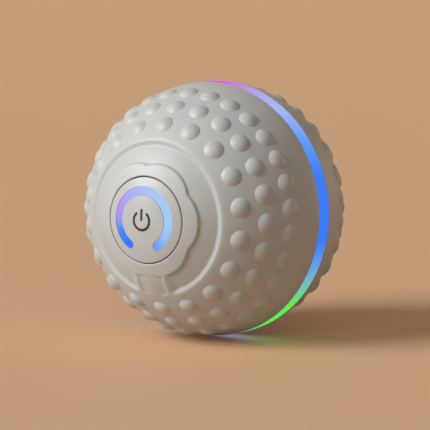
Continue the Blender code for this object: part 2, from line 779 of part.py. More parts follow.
# Button board under the panel: switch, its plunger and the lamps of the arc
board_foot = BUTTON_BOARD_TOP - BOARD_THICKNESS
button_board = rod(
    "button_board", BUTTON_BOARD_RADIUS, board_foot, BUTTON_BOARD_TOP, CORE_STEPS, CIRCUIT_BOARD, FRONT
)
lamps = []
for i in range(ARC_LED_COUNT):
    turn = -ARC_HALF_ANGLE + 2 * ARC_HALF_ANGLE * i / (ARC_LED_COUNT - 1)
    half = ARC_LED_SIZE / 2
    place = FRONT @ Matrix.Rotation(-turn, 4, "Z")
    lamps.append(
        block(
            f"arc_lamp_{i}",
            (-half, ARC_MID_RADIUS - half, BUTTON_BOARD_TOP - BOARD_THICKNESS / 2),
            (half, ARC_MID_RADIUS + half, BUTTON_BOARD_TOP + ARC_LED_HEIGHT),
            None,
            place,
        )
    )
combine(button_board, lamps, "UNION")
switch_foot = BUTTON_BOARD_TOP + INLAY_GAP
switch_top = switch_foot + SWITCH_HEIGHT
switch = block(
    "button_switch",
    (-SWITCH_SIZE / 2, -SWITCH_SIZE / 2, switch_foot),
    (SWITCH_SIZE / 2, SWITCH_SIZE / 2, switch_top),
    CHIP_BLACK,
    FRONT,
)
well_floor = switch_top - SWITCH_WELL_DEPTH
well = rod("switch_well", SWITCH_WELL_RADIUS, well_floor, switch_top + OVERRUN, SMALL_STEPS, None, FRONT)
combine(switch, (well,), "DIFFERENCE")
rod(
    "switch_plunger",
    PLUNGER_RADIUS,
    well_floor + PANEL_TRAVEL + PIECE_GAP,
    plunger_top - INLAY_GAP,
    SMALL_STEPS,
    ACETAL,
    FRONT,
)

# Core case, front half: journal for the button, disc, cone and straight wall
front_case = turned(
    "front_core_case",
    [
        (FRONT_JOURNAL_RADIUS, FRONT_JOURNAL_END),
        (FRONT_JOURNAL_RADIUS, FRONT_DISC_TOP),
        (FRONT_DISC_RADIUS, FRONT_DISC_RIM),
        (CASE_RADIUS, CASE_STRAIGHT),
        (CASE_RADIUS, CASE_SEAM / 2),
        (CASE_INNER, CASE_SEAM / 2),
        (CASE_INNER, CASE_STRAIGHT),
        (FRONT_DISC_RADIUS - CASE_WALL, FRONT_DISC_RIM - CASE_WALL),
        (FRONT_JOURNAL_BORE, FRONT_PLATE_INNER),
        (FRONT_JOURNAL_BORE, FRONT_JOURNAL_END),
    ],
    CORE_STEPS,
    CASE_PLASTIC,
    FRONT,
)
rear_case = turned(
    "rear_core_case",
    [
        (REAR_JOURNAL_RADIUS, REAR_JOURNAL_END),
        (REAR_JOURNAL_RADIUS, REAR_DISC_TOP),
        (REAR_DISC_RADIUS, REAR_DISC_TOP),
        (CASE_RADIUS, CASE_STRAIGHT),
        (CASE_RADIUS, CASE_SEAM / 2),
        (CASE_INNER, CASE_SEAM / 2),
        (CASE_INNER, CASE_STRAIGHT),
        (REAR_DISC_RADIUS - CASE_WALL, REAR_DISC_INNER),
        (REAR_JOURNAL_BORE, REAR_DISC_INNER),
        (REAR_JOURNAL_BORE, REAR_JOURNAL_END),
    ],
    CORE_STEPS,
    CASE_PLASTIC,
    REAR,
)


def along_axle(x, z):
    """Places a piece whose own Z points back along the axle, at a point of the XZ plane."""
    return Matrix.Translation((x, 0, z)) @ ALONG_AXLE


# Case screws run from the front disc through long bosses into the rear half
boss_end = CASE_SEAM / 2
for number, (x, z) in enumerate(CASE_SCREW_PLACES, 1):
    place = along_axle(x, z)
    across = math.hypot(x, z)
    slope = (FRONT_DISC_TOP - FRONT_DISC_RIM) / (FRONT_DISC_RADIUS - FRONT_JOURNAL_RADIUS)
    disc_top = FRONT_DISC_TOP - (across - FRONT_JOURNAL_RADIUS - SCREW_HEAD_RADIUS) * slope
    disc_mid = FRONT_DISC_TOP - (across - FRONT_JOURNAL_RADIUS) * slope - CASE_WALL / 2
    front_boss = rod(f"front_boss_{number}", BOSS_RADIUS, -disc_mid, -boss_end, BOSS_STEPS, None, place)
    front_hole = rod(
        f"front_hole_{number}",
        SCREW_RADIUS + PIECE_GAP,
        -disc_top - OVERRUN,
        OVERRUN,
        SMALL_STEPS,
        None,
        place,
    )
    combine(front_case, (front_boss,), "UNION")
    combine(front_case, (front_hole,), "DIFFERENCE")
    rear_boss = rod(
        f"rear_boss_{number}", BOSS_RADIUS, boss_end, REAR_DISC_TOP - CASE_WALL / 2, BOSS_STEPS, None, place
    )
    rear_hole = rod(
        f"rear_hole_{number}",
        SCREW_RADIUS + RUNNING_GAP,
        -OVERRUN,
        SCREW_BITE + 2 * PIECE_GAP,
        SMALL_STEPS,
        None,
        place,
    )
    combine(rear_case, (rear_boss,), "UNION")
    combine(rear_case, (rear_hole,), "DIFFERENCE")
    head_seat = -disc_top - PIECE_GAP
    turned(
        f"case_screw_{number}",
        [
            (0, SCREW_BITE),
            (SCREW_RADIUS, SCREW_BITE),
            (SCREW_RADIUS, head_seat),
            (SCREW_HEAD_RADIUS, head_seat),
            (SCREW_HEAD_RADIUS, head_seat - SCREW_HEAD_HEIGHT),
            (0, head_seat - SCREW_HEAD_HEIGHT),
        ],
        SMALL_STEPS,
        STEEL,
        place,
        closed=False,
    )

# Gear train: motor pinion, idler, drive gear and the ring gear fixed in the rear liner
drive_distance = DRIVE_MODULE * (RING_TEETH - DRIVE_PINION_TEETH) / 2
wheel_tip = drive_distance - REAR_JOURNAL_RADIUS - WHEEL_JOURNAL_GAP
train_module = wheel_tip / (DRIVE_WHEEL_TEETH / 2 + ADDENDUM_SHARE)
idler_distance = train_module * (DRIVE_WHEEL_TEETH + IDLER_PINION_TEETH) / 2
motor_distance = train_module * (IDLER_WHEEL_TEETH + MOTOR_PINION_TEETH) / 2
drive_centre = Vector((0, -drive_distance))
idler_direction = Vector((math.cos(IDLER_BEARING_FROM_DRIVE), math.sin(IDLER_BEARING_FROM_DRIVE)))
idler_centre = drive_centre + idler_distance * idler_direction
motor_direction = Vector((math.cos(MOTOR_BEARING_FROM_IDLER), math.sin(MOTOR_BEARING_FROM_IDLER)))
motor_centre = idler_centre + motor_distance * motor_direction


def own_angle(direction):
    """Angle in a gear's own XY plane of a direction in the XZ plane."""
    return math.atan2(-direction[1], direction[0])


def half_pitch(teeth):
    return math.pi / teeth


wheel_low = REAR_DISC_TOP + GEAR_FLOAT
idler_wheel_high = wheel_low + WHEEL_WIDTH
drive_wheel_low = idler_wheel_high + GEAR_FLOAT
drive_wheel_high = drive_wheel_low + WHEEL_WIDTH
idler_pinion_high = drive_wheel_high - PINION_SINK - GEAR_FLOAT
drive_pinion_high = drive_wheel_high + GEAR_FLOAT + DRIVE_PINION_WIDTH
ring_low = drive_wheel_high + 2 * GEAR_FLOAT
ring_plate_low = drive_pinion_high + GEAR_FLOAT
ring_plate_high = ring_plate_low + RING_GEAR_PLATE_WALL

ring_gear = slab(
    "ring_gear",
    [
        circle(RING_GEAR_RIM_RADIUS, CORE_STEPS),
        inner_gear(RING_TEETH, DRIVE_MODULE, own_angle(drive_centre)),
    ],
    ring_low,
    ring_plate_low,
    ACETAL,
    ALONG_AXLE,
)
ring_root = DRIVE_MODULE * (RING_TEETH / 2 + DEDENDUM_SHARE) + RUNNING_GAP
plate_edge = min(RING_GEAR_RIM_RADIUS, rim_distance(LINER_INNER - PIECE_GAP, ring_plate_high))
ring_plate = turned(
    "ring_gear_plate",
    [
        (plate_edge, ring_plate_high),
        (plate_edge, ring_plate_low - RING_GEAR_PLATE_WALL / 4),
        (ring_root, ring_plate_low - RING_GEAR_PLATE_WALL / 4),
        (ring_root, ring_plate_low),
        (RING_GEAR_PLATE_BORE, ring_plate_low),
        (RING_GEAR_PLATE_BORE, ring_plate_high),
    ],
    CORE_STEPS,
    None,
    ALONG_AXLE,
)
combine(ring_gear, (ring_plate,), "UNION")

# Three bosses on the rear liner carry the ring gear
for number in range(1, RING_SCREW_COUNT + 1):
    turn = 2 * math.pi * number / RING_SCREW_COUNT + math.pi / 2
    place = along_axle(RING_SCREW_CIRCLE * math.cos(turn), RING_SCREW_CIRCLE * math.sin(turn))
    reach = on_sphere(LINER_INNER, RING_SCREW_CIRCLE + RING_BOSS_RADIUS)
    boss_low = ring_plate_high + PIECE_GAP
    boss = rod(
        f"ring_boss_{number}", RING_BOSS_RADIUS, boss_low, reach + LINER_WALL, BOSS_STEPS, None, place
    )
    screw_tip = boss_low + SCREW_BITE / 2
    boss_hole = rod(
        f"ring_boss_hole_{number}",
        SCREW_RADIUS + RUNNING_GAP,
        boss_low - OVERRUN,
        screw_tip + PIECE_GAP,
        SMALL_STEPS,
        None,
        place,
    )
    combine(rear_shell, (boss,), "UNION")
    combine(rear_shell, (boss_hole,), "DIFFERENCE")
    plate_hole = rod(
        f"ring_plate_hole_{number}",
        SCREW_RADIUS + PIECE_GAP,
        ring_plate_low - OVERRUN,
        ring_plate_high + OVERRUN,
        SMALL_STEPS,
        None,
        place,
    )
    head_well = rod(
        f"ring_head_well_{number}",
        SCREW_HEAD_RADIUS + PIECE_GAP,
        ring_plate_low - OVERRUN,
        ring_plate_low + RING_GEAR_PLATE_WALL / 2,
        SMALL_STEPS,
        None,
        place,
    )
    combine(ring_gear, (plate_hole, head_well), "DIFFERENCE")
    head_top = ring_plate_low + RING_GEAR_PLATE_WALL / 2 - RUNNING_GAP
    turned(
        f"ring_screw_{number}",
        [
            (0, screw_tip),
            (SCREW_RADIUS, screw_tip),
            (SCREW_RADIUS, head_top),
            (SCREW_HEAD_RADIUS, head_top),
            (SCREW_HEAD_RADIUS, ring_plate_low + PIECE_GAP / 6),
            (0, ring_plate_low + PIECE_GAP / 6),
        ],
        SMALL_STEPS,
        STEEL,
        place,
        closed=False,
    )


def stepped_gear(name, centre, wheel, pinion):
    """A moulded wheel and pinion on one bore."""
    place = along_axle(*centre)
    (wheel_outline, wheel_from, wheel_to), (pinion_outline, pinion_from, pinion_to) = wheel, pinion
    gear = slab(name, [wheel_outline], wheel_from, wheel_to, ACETAL, place)
    upper = slab(name + "_pinion", [pinion_outline], pinion_from, pinion_to, None, place)
    bore = rod(
        name + "_bore",
        AXLE_RADIUS + RUNNING_GAP,
        wheel_from - OVERRUN,
        pinion_to + OVERRUN,
        SMALL_STEPS,
        None,
        place,
    )
    combine(gear, (upper,), "UNION")
    combine(gear, (bore,), "DIFFERENCE")
    return gear


# The drive pinion has a tooth in a space of the ring gear, and each later pair meshes the same way
stepped_gear(
    "drive_gear",
    drive_centre,
    (
        outer_gear(DRIVE_WHEEL_TEETH, train_module, own_angle(idler_direction)),
        drive_wheel_low,
        drive_wheel_high,
    ),
    (
        outer_gear(DRIVE_PINION_TEETH, DRIVE_MODULE, own_angle(drive_centre)),
        drive_wheel_high - PINION_SINK,
        drive_pinion_high,
    ),
)
stepped_gear(
    "idler_gear",
    idler_centre,
    (
        outer_gear(IDLER_WHEEL_TEETH, train_module, own_angle(motor_direction)),
        wheel_low,
        idler_wheel_high,
    ),
    (
        outer_gear(
            IDLER_PINION_TEETH, train_module, own_angle(-idler_direction) + half_pitch(IDLER_PINION_TEETH)
        ),
        idler_wheel_high - PINION_SINK,
        idler_pinion_high,
    ),
)
motor_place = along_axle(*motor_centre)
motor_pinion = slab(
    "motor_pinion",
    [
        outer_gear(
            MOTOR_PINION_TEETH, train_module, own_angle(-motor_direction) + half_pitch(MOTOR_PINION_TEETH)
        )
    ],
    wheel_low,
    idler_wheel_high,
    ACETAL,
    motor_place,
)
pinion_bore = rod(
    "motor_pinion_bore",
    MOTOR_SHAFT_RADIUS + INLAY_GAP,
    wheel_low - OVERRUN,
    idler_wheel_high + OVERRUN,
    SMALL_STEPS,
    None,
    motor_place,
)
combine(motor_pinion, (pinion_bore,), "DIFFERENCE")

# Fixed axle pins stand in blind seats of the rear disc
for name, centre, pin_high in (
    ("drive_axle", drive_centre, drive_pinion_high),
    ("idler_axle", idler_centre, idler_pinion_high),
):
    place = along_axle(*centre)
    seat_floor = REAR_DISC_TOP - AXLE_SEAT_DEPTH
    rod(name, AXLE_RADIUS, seat_floor + INLAY_GAP, pin_high, SMALL_STEPS, STEEL, place)
    seat = rod(
        name + "_seat",
        AXLE_RADIUS + INLAY_GAP,
        seat_floor,
        REAR_DISC_TOP + OVERRUN,
        SMALL_STEPS,
        None,
        place,
    )
    combine(rear_case, (seat,), "DIFFERENCE")

# Motor in its collar, with its shaft through the rear disc
motor_face = REAR_DISC_INNER - PIECE_GAP
motor_back = CELL_Y + CELL_RADIUS + MOTOR_CELL_GAP
motor = rod("motor", MOTOR_RADIUS, motor_back, motor_face, 2 * SMALL_STEPS, STEEL, motor_place)
shaft_well = rod(
    "motor_shaft_well",
    MOTOR_SHAFT_RADIUS + PIECE_GAP,
    motor_face - MOTOR_SHAFT_DEPTH - PIECE_GAP,
    motor_face + OVERRUN,
    SMALL_STEPS,
    None,
    motor_place,
)
combine(motor, (shaft_well,), "DIFFERENCE")
rod(
    "motor_shaft",
    MOTOR_SHAFT_RADIUS,
    motor_face - MOTOR_SHAFT_DEPTH,
    idler_wheel_high,
    SMALL_STEPS,
    STEEL,
    motor_place,
)
collar_inner = MOTOR_RADIUS + RUNNING_GAP
collar = turned(
    "motor_collar",
    [
        (collar_inner + MOTOR_COLLAR_WALL, REAR_DISC_TOP - CASE_WALL / 2),
        (collar_inner + MOTOR_COLLAR_WALL, REAR_DISC_INNER - MOTOR_COLLAR_DEPTH),
        (collar_inner, REAR_DISC_INNER - MOTOR_COLLAR_DEPTH),
        (collar_inner, REAR_DISC_TOP - CASE_WALL / 2),
    ],
    2 * SMALL_STEPS,
    None,
    motor_place,
)
shaft_hole = rod(
    "motor_shaft_hole",
    MOTOR_SHAFT_RADIUS + 2 * PIECE_GAP,
    REAR_DISC_INNER - OVERRUN,
    REAR_DISC_TOP + OVERRUN,
    SMALL_STEPS,
    None,
    motor_place,
)
combine(rear_case, (collar,), "UNION")
combine(rear_case, (shaft_hole,), "DIFFERENCE")

# Counterweight: a steel segment in the bottom of the case
weight_radius = CASE_INNER - PIECE_GAP
weight_turn = math.acos(WEIGHT_TOP / weight_radius)
weight_outline = [
    (
        weight_radius * math.sin(weight_turn * (2 * i / WEIGHT_STEPS - 1)),
        weight_radius * math.cos(weight_turn * (2 * i / WEIGHT_STEPS - 1)),
    )
    for i in range(WEIGHT_STEPS + 1)
]
slab(
    "counterweight",
    [weight_outline],
    -WEIGHT_LENGTH / 2,
    WEIGHT_LENGTH / 2,
    WEIGHT_STEEL,
    ALONG_AXLE,
)

# Battery cell lies across the ball in a saddle between the weight and the front disc
cell_place = Matrix.Translation((0, CELL_Y, CELL_Z)) @ ALONG_WIDTH
half_cell = CELL_LENGTH / 2
turned(
    "battery",
    [
        (0, half_cell),
        (CELL_CAP_RADIUS, half_cell),
        (CELL_CAP_RADIUS, half_cell - CELL_CAP_HEIGHT),
        (CELL_RADIUS, half_cell - CELL_CAP_HEIGHT),
        (CELL_RADIUS, -half_cell),
        (0, -half_cell),
    ],
    2 * SMALL_STEPS,
    CELL_WRAP,
    cell_place,
    closed=False,
)
saddle_back = CELL_Y + CELL_RADIUS
holder = block(
    "battery_holder",
    (-HOLDER_LENGTH / 2, -HOLDER_FRONT, CELL_Z - CELL_RADIUS - HOLDER_FLOOR),
    (HOLDER_LENGTH / 2, saddle_back, CELL_Z - HOLDER_TOP_DROP),
    HARD_PLASTIC,
)
cradle = rod(
    "battery_cradle",
    CELL_RADIUS + PIECE_GAP,
    -CELL_LENGTH,
    CELL_LENGTH,
    2 * SMALL_STEPS,
    None,
    cell_place,
)
combine(holder, (cradle,), "DIFFERENCE")

# Main board stands on pillars of the rear disc, over the upper two screw bosses
board_back = REAR_DISC_INNER - MAIN_BOARD_STANDOFF
board_front = board_back - BOARD_THICKNESS
board_turn = math.acos(MAIN_BOARD_FOOT / MAIN_BOARD_RADIUS)
board_outline = [
    (
        MAIN_BOARD_RADIUS * math.sin(board_turn * (2 * i / WEIGHT_STEPS - 1)),
        -MAIN_BOARD_RADIUS * math.cos(board_turn * (2 * i / WEIGHT_STEPS - 1)),
    )
    for i in range(WEIGHT_STEPS + 1)
]
boss_clearance = BOSS_RADIUS + PIECE_GAP
slab(
    "main_board",
    [board_outline]
    + [circle(boss_clearance, BOSS_STEPS, (x, -z)) for x, z in CASE_SCREW_PLACES if z > 0],
    board_front,
    board_back,
    CIRCUIT_BOARD,
    ALONG_AXLE,
)
for number, (x, z) in enumerate(CASE_SCREW_PLACES):
    if z > 0:
        pillar = rod(
            f"board_ledge_{number}",
            BOSS_RADIUS + COLLAR_WALL / 2,
            board_back + PIECE_GAP,
            REAR_DISC_TOP - CASE_WALL / 2,
            BOSS_STEPS,
            None,
            along_axle(x, z),
        )
        combine(rear_case, (pillar,), "UNION")
block(
    "control_chip",
    (-CHIP_SIZE / 2, board_front - INLAY_GAP - CHIP_HEIGHT, CHIP_Z - CHIP_SIZE / 2),
    (CHIP_SIZE / 2, board_front - INLAY_GAP, CHIP_Z + CHIP_SIZE / 2),
    CHIP_BLACK,
)
rod(
    "motion_sensor",
    SENSOR_RADIUS,
    board_front - INLAY_GAP - SENSOR_HEIGHT,
    board_front - INLAY_GAP,
    SMALL_STEPS,
    STEEL,
    along_axle(SENSOR_X, SENSOR_Z),
)
block(
    "battery_connector",
    (
        CONNECTOR_X - CONNECTOR_SIZE / 2,
        board_front - INLAY_GAP - CONNECTOR_HEIGHT,
        CONNECTOR_Z - CONNECTOR_SIZE / 2,
    ),
    (CONNECTOR_X + CONNECTOR_SIZE / 2, board_front - INLAY_GAP, CONNECTOR_Z + CONNECTOR_SIZE / 2),
    ACETAL,
)

# Lamp strip round the case, shining out at the light ring
strip_inner = CASE_RADIUS + PIECE_GAP
strip_outer = strip_inner + STRIP_THICKNESS
strip = turned(
    "lamp_strip",
    [
        (strip_outer, STRIP_HALF_WIDTH),
        (strip_outer, -STRIP_HALF_WIDTH),
        (strip_inner, -STRIP_HALF_WIDTH),
        (strip_inner, STRIP_HALF_WIDTH),
    ],
    CORE_STEPS,
    CIRCUIT_BOARD,
    FRONT,
)
strip_lamps = []
for i in range(STRIP_LED_COUNT):
    half = STRIP_LED_SIZE / 2
    place = FRONT @ Matrix.Rotation(2 * math.pi * i / STRIP_LED_COUNT, 4, "Z")
    strip_lamps.append(
        block(
            f"strip_lamp_{i}",
            (strip_inner + STRIP_THICKNESS / 3, -half, -half),
            (strip_outer + STRIP_LED_HEIGHT, half, half),
            None,
            place,
        )
    )
combine(strip, strip_lamps, "UNION")

# Rear cap, charging socket, its board and the rubber plug
cap_rim = on_sphere(PANEL_DOME, PANEL_RADIUS)
cap_under = cap_rim - REAR_CAP_RIM
cap = turned(
    "rear_cap",
    arc(PANEL_DOME, 0, PANEL_RADIUS, 4)
    + [
        (PANEL_RADIUS, cap_under),
        (REAR_JOURNAL_RADIUS - PIECE_GAP, cap_under),
        (REAR_JOURNAL_RADIUS - PIECE_GAP, REAR_JOURNAL_END + PIECE_GAP),
        (REAR_SPIGOT_RADIUS, REAR_JOURNAL_END + PIECE_GAP),
        (REAR_SPIGOT_RADIUS, REAR_JOURNAL_END - REAR_CAP_SPIGOT_DEPTH),
        (REAR_SPIGOT_BORE, REAR_JOURNAL_END - REAR_CAP_SPIGOT_DEPTH),
        (REAR_SPIGOT_BORE, cap_under),
        (0, cap_under),
    ],
    PANEL_STEPS,
    CASE_PLASTIC,
    REAR,
    closed=False,
)
pocket_floor = PANEL_DOME - PORT_POCKET_DEPTH
pocket = slab(
    "port_pocket",
    [rounded_slot(PORT_POCKET_WIDTH, PORT_POCKET_HEIGHT)],
    pocket_floor,
    above_panel,
    None,
    REAR,
)
socket_clearance = PIECE_GAP
socket_hole = slab(
    "socket_hole",
    [rounded_slot(SOCKET_WIDTH + 2 * socket_clearance, SOCKET_HEIGHT + 2 * socket_clearance)],
    cap_under - OVERRUN,
    above_panel,
    None,
    REAR,
)
combine(cap, (pocket, socket_hole), "DIFFERENCE")
socket_mouth = pocket_floor - SOCKET_MOUTH_GAP
socket_back = socket_mouth - SOCKET_LENGTH
socket = slab(
    "charging_socket",
    [rounded_slot(SOCKET_WIDTH, SOCKET_HEIGHT)],
    socket_back,
    socket_mouth,
    STEEL,
    REAR,
)
socket_bore = slab(
    "socket_bore",
    [rounded_slot(SOCKET_WIDTH - 2 * SOCKET_WALL, SOCKET_HEIGHT - 2 * SOCKET_WALL)],
    socket_back + SOCKET_WALL + PIECE_GAP,
    socket_mouth + OVERRUN,
    None,
    REAR,
)
combine(socket, (socket_bore,), "DIFFERENCE")
port_board_top = -SOCKET_HEIGHT / 2 - INLAY_GAP
port_board_end = REAR_JOURNAL_END - REAR_CAP_SPIGOT_DEPTH - PIECE_GAP
block(
    "port_board",
    (-PORT_BOARD_WIDTH / 2, port_board_end - PORT_BOARD_LENGTH, port_board_top - BOARD_THICKNESS),
    (PORT_BOARD_WIDTH / 2, port_board_end, port_board_top),
    CIRCUIT_BOARD,
)
plug_flange = slab(
    "port_plug",
    [rounded_slot(PORT_POCKET_WIDTH - 2 * RUNNING_GAP, PORT_POCKET_HEIGHT - 2 * RUNNING_GAP)],
    pocket_floor + RUNNING_GAP,
    above_panel,
    RUBBER,
    REAR,
)
plug_dome = turned(
    "plug_dome",
    arc(PANEL_DOME, 0, PANEL_RADIUS, 4) + [(PANEL_RADIUS, cap_under), (0, cap_under)],
    PANEL_STEPS,
    None,
    REAR,
    closed=False,
)
tongue = slab(
    "plug_tongue",
    [
        rounded_slot(
            SOCKET_WIDTH - 2 * SOCKET_WALL - 2 * TONGUE_CLEARANCE,
            SOCKET_HEIGHT - 2 * SOCKET_WALL - 2 * TONGUE_CLEARANCE,
        )
    ],
    pocket_floor - TONGUE_LENGTH,
    pocket_floor + PORT_POCKET_DEPTH / 2,
    None,
    REAR,
)
combine(plug_flange, (plug_dome,), "INTERSECT")
combine(plug_flange, (tongue,), "UNION")

# Leads from the battery, the motor and the button board to the main board, by hand-placed points
LEAD_PITCH = 0.0014
LEAD_ROUTES = (
    (
        "button_lead",
        (1, 0, 0),
        (
            (0, -0.0261, 0.0030),
            (0, -0.0180, 0.0032),
            (0, -0.0090, 0.0050),
            (0, 0.0000, 0.0060),
            (0, 0.0079, 0.0060),
        ),
    ),
    (
        "battery_lead",
        (1, 0, 0),
        (
            (0.0115, -0.0125, 0.0003),
            (0.0113, -0.0110, 0.0032),
            (0.0095, -0.0055, 0.0055),
            (0.0076, -0.0002, 0.0060),
            (0.0070, 0.0043, 0.0060),
        ),
    ),
    (
        "motor_lead",
        (1, 0, 0),
        (
            (0.0205, -0.0041, -0.0095),
            (0.0207, -0.0060, -0.0092),
            (0.0226, -0.0074, -0.0072),
            (0.0250, -0.0064, -0.0036),
            (0.0259, -0.0032, 0.0004),
            (0.0249, 0.0008, 0.0034),
            (0.0232, 0.0044, 0.0048),
            (0.0225, 0.0079, 0.0050),
        ),
    ),
)
for route_name, beside, corners in LEAD_ROUTES:
    for colour_name, finish, side in (("red", RED_LEAD, -0.5), ("black", BLACK_LEAD, 0.5)):
        shift = Vector(beside) * LEAD_PITCH * side
        wire(
            f"{route_name}_{colour_name}",
            [point + shift for point in bent_route(corners)],
            finish,
        )

for made in parts.objects:
    if made.type == "MESH" and len(made.data.polygons) > 0:
        smooth(made)
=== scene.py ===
import math

import bmesh
import bpy
from mathutils import Matrix, Vector


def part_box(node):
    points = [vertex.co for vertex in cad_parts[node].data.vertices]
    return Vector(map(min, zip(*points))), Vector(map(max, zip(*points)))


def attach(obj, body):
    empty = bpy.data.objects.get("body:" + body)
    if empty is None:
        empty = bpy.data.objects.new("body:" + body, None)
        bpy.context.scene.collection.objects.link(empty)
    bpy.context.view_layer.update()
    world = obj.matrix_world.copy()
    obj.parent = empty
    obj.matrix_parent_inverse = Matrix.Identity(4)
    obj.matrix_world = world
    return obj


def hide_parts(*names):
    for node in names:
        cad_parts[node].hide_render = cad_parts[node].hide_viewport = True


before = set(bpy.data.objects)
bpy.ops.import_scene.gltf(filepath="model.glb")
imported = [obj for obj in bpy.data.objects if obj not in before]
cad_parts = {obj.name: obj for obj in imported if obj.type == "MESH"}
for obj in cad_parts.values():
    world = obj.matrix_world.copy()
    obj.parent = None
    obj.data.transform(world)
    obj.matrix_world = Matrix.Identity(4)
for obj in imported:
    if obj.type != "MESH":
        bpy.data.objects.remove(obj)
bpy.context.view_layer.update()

# Studio: a pale sand-coloured floor under air of the same colour. A soft key lamp stands high on the left,
# with weak lamps above and in front, and a weak warm one low behind the ball on the right. The camera
# has a long lens and looks down on the ball a little, from the right of the power button.
mm = 0.001
ball_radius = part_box("light_ring")[1].x
camera_azimuth = math.radians(33.065)
camera_elevation = math.radians(6.63)
camera_distance = 590.85 * mm
camera_film = 36
camera_lens = 163.26
camera_shift = (0.00127, -0.01637)
floor_reach = 30.0
floor_sides = 96
floor_drop = 0.1 * mm
floor_roughness = 0.7
floor_colour = (0.62, 0.385, 0.235)
seen_floor_colour = (0.70, 0.42, 0.24)
floor_lift = 0.10
room_colour = (0.84, 0.91, 0.94)
room_strength = 0.05
seen_room_colour = (0.53, 0.332, 0.195)

scene = bpy.context.scene
scene.view_settings.view_transform = "Standard"
camera_data = bpy.data.cameras.new("camera")
camera_data.sensor_width = camera_film
camera_data.lens = camera_lens
camera_data.shift_x, camera_data.shift_y = camera_shift
camera = bpy.data.objects.new("camera", camera_data)
camera.location = camera_distance * Vector(
    (
        math.sin(camera_azimuth) * math.cos(camera_elevation),
        -math.cos(camera_azimuth) * math.cos(camera_elevation),
        math.sin(camera_elevation),
    )
)
camera.rotation_euler = (math.pi / 2 - camera_elevation, 0, camera_azimuth)
scene.collection.objects.link(camera)
scene.camera = camera

for lamp_name, colour, energy, spread, direction in (
    ("key_lamp", (0.94, 0.985, 1.0), 2.76, 34, (-0.513, -0.686, 0.560)),
    ("top_lamp", (0.94, 1.0, 1.0), 0.38, 60, (0.38, -0.50, 0.78)),
    ("front_lamp", (0.66, 0.95, 1.0), 0.26, 40, (-0.45, -0.88, 0.10)),
    ("right_lamp", (1.0, 0.80, 0.66), 0.41, 40, (0.45, 0.88, 0.05)),
):
    lamp_data = bpy.data.lights.new(lamp_name, "SUN")
    lamp_data.color = colour
    lamp_data.energy = energy
    lamp_data.angle = math.radians(spread)
    lamp = bpy.data.objects.new(lamp_name, lamp_data)
    lamp.rotation_euler = Vector(direction).to_track_quat("Z", "Y").to_euler()
    scene.collection.objects.link(lamp)


class Strand:
    """One output in a node tree. A sum with it adds Math nodes."""

    def __init__(self, wiring, socket):
        self.wiring = wiring
        self.socket = socket

    def worked(self, operation, first, second):
        return self.wiring.add("ShaderNodeMath", {"operation": operation}, {0: first, 1: second})

    def __add__(self, other):
        return self.worked("ADD", self, other)

    def __radd__(self, other):
        return self.worked("ADD", other, self)

    def __sub__(self, other):
        return self.worked("SUBTRACT", self, other)

    def __rsub__(self, other):
        return self.worked("SUBTRACT", other, self)

    def __mul__(self, other):
        return self.worked("MULTIPLY", self, other)

    def __rmul__(self, other):
        return self.worked("MULTIPLY", other, self)

    def __truediv__(self, other):
        return self.worked("DIVIDE", self, other)

    def __rtruediv__(self, other):
        return self.worked("DIVIDE", other, self)

    def __lt__(self, other):
        return self.worked("LESS_THAN", self, other)

    def __gt__(self, other):
        return self.worked("GREATER_THAN", self, other)


class Wiring:
    """The node tree of a named material or of the room, with its one shader."""

    def __init__(self, owner, shader):
        owner.use_nodes = True
        self.tree = owner.node_tree
        self.shader = self.tree.nodes[shader]

    def add(self, kind, settings, sockets, out=0):
        """Makes one node, sets it up, fills its sockets and gives one of its outputs."""
        node = self.tree.nodes.new(kind)
        for key, value in settings.items():
            if key == "stops":
                ramp = node.color_ramp
                while len(ramp.elements) < len(value):
                    ramp.elements.new(1.0)
                for element, (position, colour) in zip(ramp.elements, value):
                    element.position = position
                    element.color = (*colour, 1)
            else:
                setattr(node, key, value)
        for key, value in sockets.items():
            if isinstance(value, Strand):
                self.tree.links.new(value.socket, node.inputs[key])
            else:
                node.inputs[key].default_value = value
        return Strand(self, node.outputs[out])

    def feed(self, socket, value):
        """Gives one of the shader's sockets a value or a strand."""
        if isinstance(value, Strand):
            self.tree.links.new(value.socket, self.shader.inputs[socket])
        else:
            self.shader.inputs[socket].default_value = value

    def tint(self, share, colour, other):
        """One colour, turning into another as the share goes from 0 to 1."""
        # A Mix node has its colours at sockets 6 and 7, and the mixed one at output 2.
        ends = [end if isinstance(end, Strand) else (*end, 1) for end in (colour, other)]
        mixed = {0: share, 6: ends[0], 7: ends[1]}
        return self.add("ShaderNodeMix", {"data_type": "RGBA"}, mixed, 2)

    def seen(self):
        """1 where the camera looks, straight or by way of a mirror or glass, and 0 elsewhere."""
        return sum(
            self.add("ShaderNodeLightPath", {}, {}, f"Is {kind} Ray")
            for kind in ("Camera", "Glossy", "Transmission")
        )


